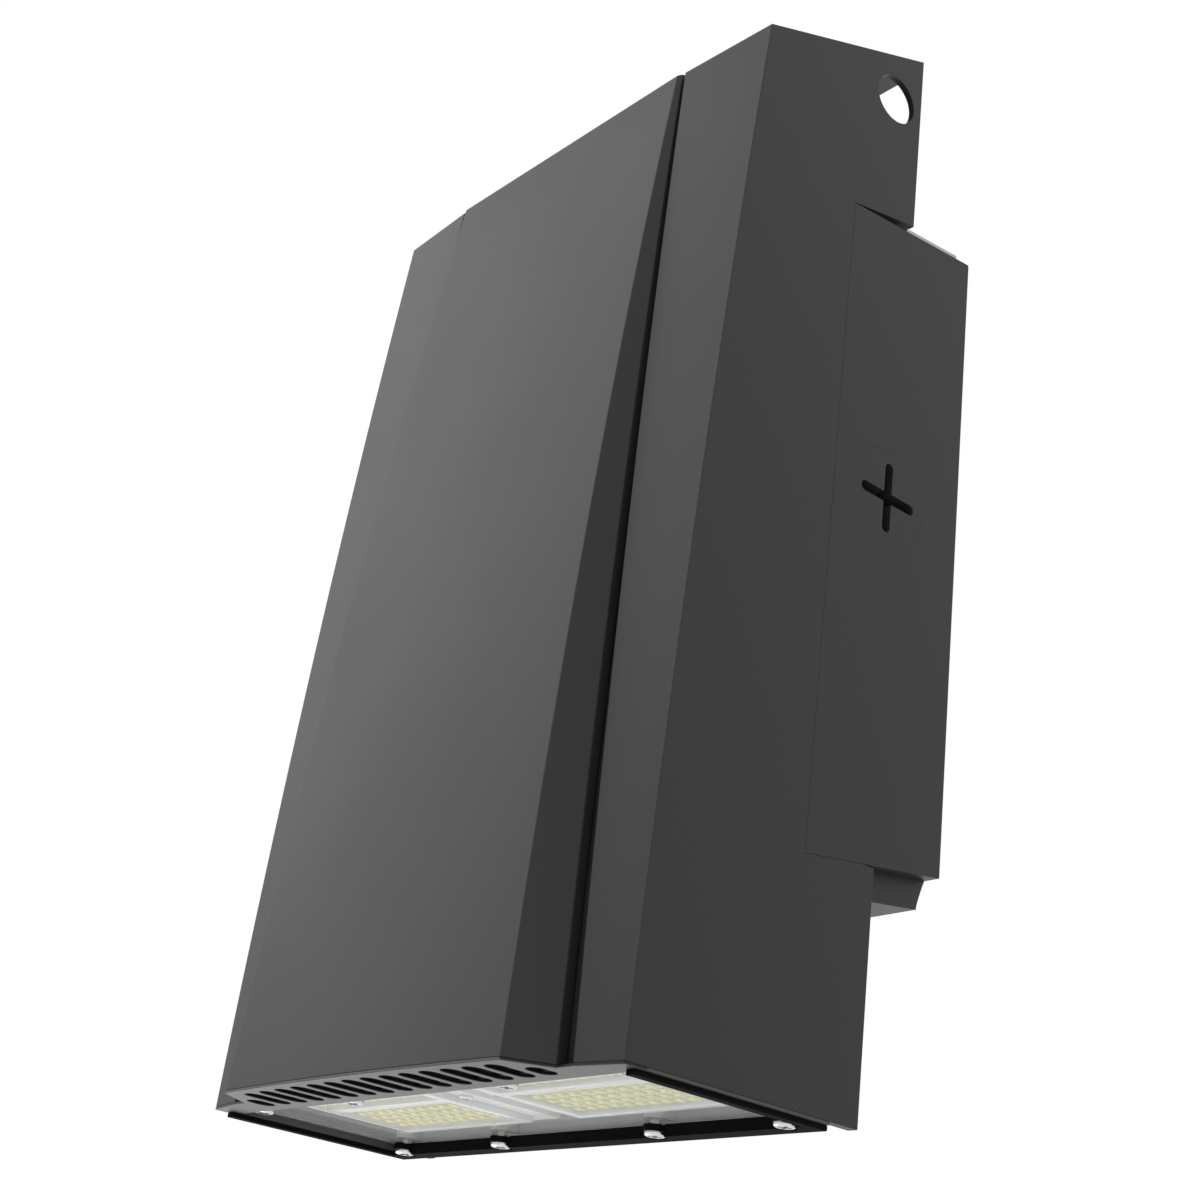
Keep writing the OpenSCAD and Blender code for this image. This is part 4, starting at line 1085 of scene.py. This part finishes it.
class WALLPACK_OT_boards(bpy.types.Operator):
    """Light-emitting chips on the boards"""

    bl_idname = "wallpack.boards"
    bl_label = "LED chips"

    def chip(self, width, thick):
        """One chip on the origin: a square body with a smaller raised lens of resin below it."""
        half, resin = width / 2, thick * (1 - CHIP_BODY)
        chip = block("chip", (-half, -half, -thick * CHIP_BODY), (half, half, 0))
        with editing("DESELECT"):
            bpy.ops.mesh.select_mode(type="FACE")
        for face in chip.data.polygons:
            face.select = face.normal.z < -0.5
        with editing(None):
            bpy.ops.mesh.inset(thickness=width * RESIN_MARGIN)
            bpy.ops.mesh.extrude_region_move(TRANSFORM_OT_translate={"value": (0, 0, -resin)})
            bpy.ops.transform.resize(value=(RESIN_TAPER, RESIN_TAPER, 1), center_override=(0, 0, 0))
        return chip

    def execute(self, context):
        sizes = context.scene.wall_pack_engine
        low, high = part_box("led_chips_right")
        width, pitch = sizes.chip_w, sizes.chip_pitch
        chip = self.chip(width, high.z - low.z)
        columns = round((high.x - low.x - width) / pitch) + 1
        rows = [low.y + width / 2] + [high.y - width / 2 - i * pitch for i in range(sizes.chip_rows)]
        copies = [
            copy_of(chip, Matrix.Translation((low.x + width / 2 + i * pitch, y, high.z)))
            for i in range(columns) for y in rows
        ]
        bpy.data.objects.remove(chip, do_unlink=True)
        right = joined("chips_right_lit_side", copies)
        left = named(copy_of(right, MIRROR), "chips_left_lit_side")
        dress(right, "head", "phosphor", "led_chips_right")
        dress(left, "head", "phosphor", "led_chips_left")
        return {"FINISHED"}


class WALLPACK_OT_inner_pieces(bpy.types.Operator):
    """Softened edges for the sheet, cast and moulded pieces that keep their shape"""

    bl_idname = "wallpack.inner_pieces"
    bl_label = "Inner pieces"

    def execute(self, context):
        edge = context.scene.wall_pack_engine.edge
        bodies = frame["record"]["behaviour"]["bodies"]
        for name in SOFTENED:
            body = next(key for key, nodes in bodies.items() if name in nodes)
            dress(softened(frame["nodes"][name], name + "_softened", edge), body, SLOTS[name], name)
        left = softened(frame["nodes"]["reflector_left"], "reflector_left_softened", edge)
        right = named(copy_of(left, MIRROR), "reflector_right_softened")
        dress(left, "head", "reflector", "reflector_left")
        dress(right, "head", "reflector", "reflector_right")
        return {"FINISHED"}


class WALLPACK_OT_plain_nodes(bpy.types.Operator):
    """Finishes for the frame nodes that keep their own shape"""

    bl_idname = "wallpack.plain_nodes"
    bl_label = "Kept nodes"

    def execute(self, context):
        for name, node in frame["nodes"].items():
            node.data.materials.clear()
            node.data.materials.append(FINISHES[SLOTS[name]])
        return {"FINISHED"}


class WALLPACK_OT_stage(bpy.types.Operator):
    """Pale floor, soft lights and the camera"""

    bl_idname = "wallpack.stage"
    bl_label = "Stage"

    def floor(self):
        deselect()
        bpy.ops.mesh.primitive_plane_add(size=FLOOR_SIZE, location=(0, 0, FLOOR_Z))
        floor = bpy.context.object
        floor.name = "floor"
        pale = Finish("pale_floor", (0.86, 0.86, 0.86), 0.6)
        pale.tint(pale.noise(3, 2.0) * 0.3, (0.82, 0.82, 0.82))
        floor.data.materials.append(pale.material)

    def studio(self, scene):
        scene.world = scene.world or bpy.data.worlds.new("studio")
        scene.world.use_nodes = True
        background = scene.world.node_tree.nodes["Background"]
        background.inputs["Color"].default_value = (1, 1, 1, 1)
        background.inputs["Strength"].default_value = 1.0
        scene.view_settings.view_transform = "Standard"
        for name, place, aim, size, power in LAMPS:
            deselect()
            bpy.ops.object.light_add(type="AREA", location=place)
            lamp = bpy.context.object
            lamp.name = name
            lamp.data.shape, lamp.data.size, lamp.data.energy = "DISK", size, power
            lamp.rotation_euler = (Vector(aim) - Vector(place)).to_track_quat("-Z", "Y").to_euler()

    def camera(self, scene):
        lens = bpy.data.cameras.new("photo_view")
        lens.lens, lens.sensor_width, lens.clip_start = CAMERA_LENS, CAMERA_SENSOR, CAMERA_NEAR
        camera = bpy.data.objects.new("photo_view", lens)
        scene.collection.objects.link(camera)
        turned = Matrix((CAMERA_RIGHT, CAMERA_UP, [-part for part in CAMERA_AHEAD])).transposed().to_4x4()
        camera.matrix_world = Matrix.Translation(CAMERA_PLACE) @ turned
        scene.camera = camera

    def execute(self, context):
        self.floor()
        self.studio(context.scene)
        self.camera(context.scene)
        return {"FINISHED"}


# Lamps: name, place, point that it is aimed at, diameter and power
LAMPS = [
    ("key", (-0.78, -0.80, 0.54), (0, -0.11, 0), 1.3, 4.9),
    ("fill", (1.4, -0.6, -0.2), (0, -0.06, 0), 0.8, 1),
    ("under", (-0.40, -0.04, -0.46), (-0.03, -0.06, -0.13), 0.3, 1.1),
]
# Camera that matches the photograph's view: its place in metres and its three directions
CAMERA_PLACE = (0.4299, -0.39415, -0.25514)
CAMERA_RIGHT = (0.65396, 0.74742, 0.11747)
CAMERA_UP = (0.24373, -0.35515, 0.90243)
CAMERA_AHEAD = (-0.71703, 0.56266, 0.41146)
# Its focal length and sensor width in millimetres, and the nearest distance that it sees, in metres
CAMERA_LENS, CAMERA_SENSOR, CAMERA_NEAR = 59.0, 36.0, 0.01
# Floor's width and height
FLOOR_SIZE, FLOOR_Z = 12, -0.55
# Frame nodes that keep their shape and get softened edges
SOFTENED = (
    "driver_tray", "driver_case", "driver_lid", "surge_protector", "wire_grommet", "terminal_block",
    "heat_sink",
)


class WALLPACK_PT_panel(bpy.types.Panel):
    """Steps that build the wall pack light"""

    bl_label = "Wall pack light"
    bl_space_type = "VIEW_3D"
    bl_region_type = "UI"
    bl_category = "Wall pack"

    def draw(self, context):
        for step in STEPS:
            self.layout.operator(step.bl_idname)
        for group in GROUPS:
            for key in GROUPS[group].__annotations__:
                self.layout.prop(getattr(context.scene, group), key)


FINISHES = {}
GROUPS = {
    "wall_pack_head": HeadSizes,
    "wall_pack_box": BoxSizes,
    "wall_pack_engine": EngineSizes,
    "wall_pack_colours": Colours,
}
STEPS = (
    WALLPACK_OT_plain_nodes,
    WALLPACK_OT_housing,
    WALLPACK_OT_cover,
    WALLPACK_OT_box,
    WALLPACK_OT_plugs,
    WALLPACK_OT_engine,
    WALLPACK_OT_lens,
    WALLPACK_OT_screws,
    WALLPACK_OT_boards,
    WALLPACK_OT_inner_pieces,
    WALLPACK_OT_stage,
)


def register():
    for made in (*GROUPS.values(), *STEPS, WALLPACK_PT_panel):
        bpy.utils.register_class(made)
    for name, group in GROUPS.items():
        setattr(bpy.types.Scene, name, bpy.props.PointerProperty(type=group))


def unregister():
    for name in GROUPS:
        delattr(bpy.types.Scene, name)
    for made in reversed((*GROUPS.values(), *STEPS, WALLPACK_PT_panel)):
        bpy.utils.unregister_class(made)


def main():
    register()
    FINISHES.update(make_finishes(bpy.context.scene.wall_pack_colours))
    for step in STEPS:
        group, name = step.bl_idname.split(".")
        getattr(getattr(bpy.ops, group), name)()


if __name__ == "__main__":
    main()
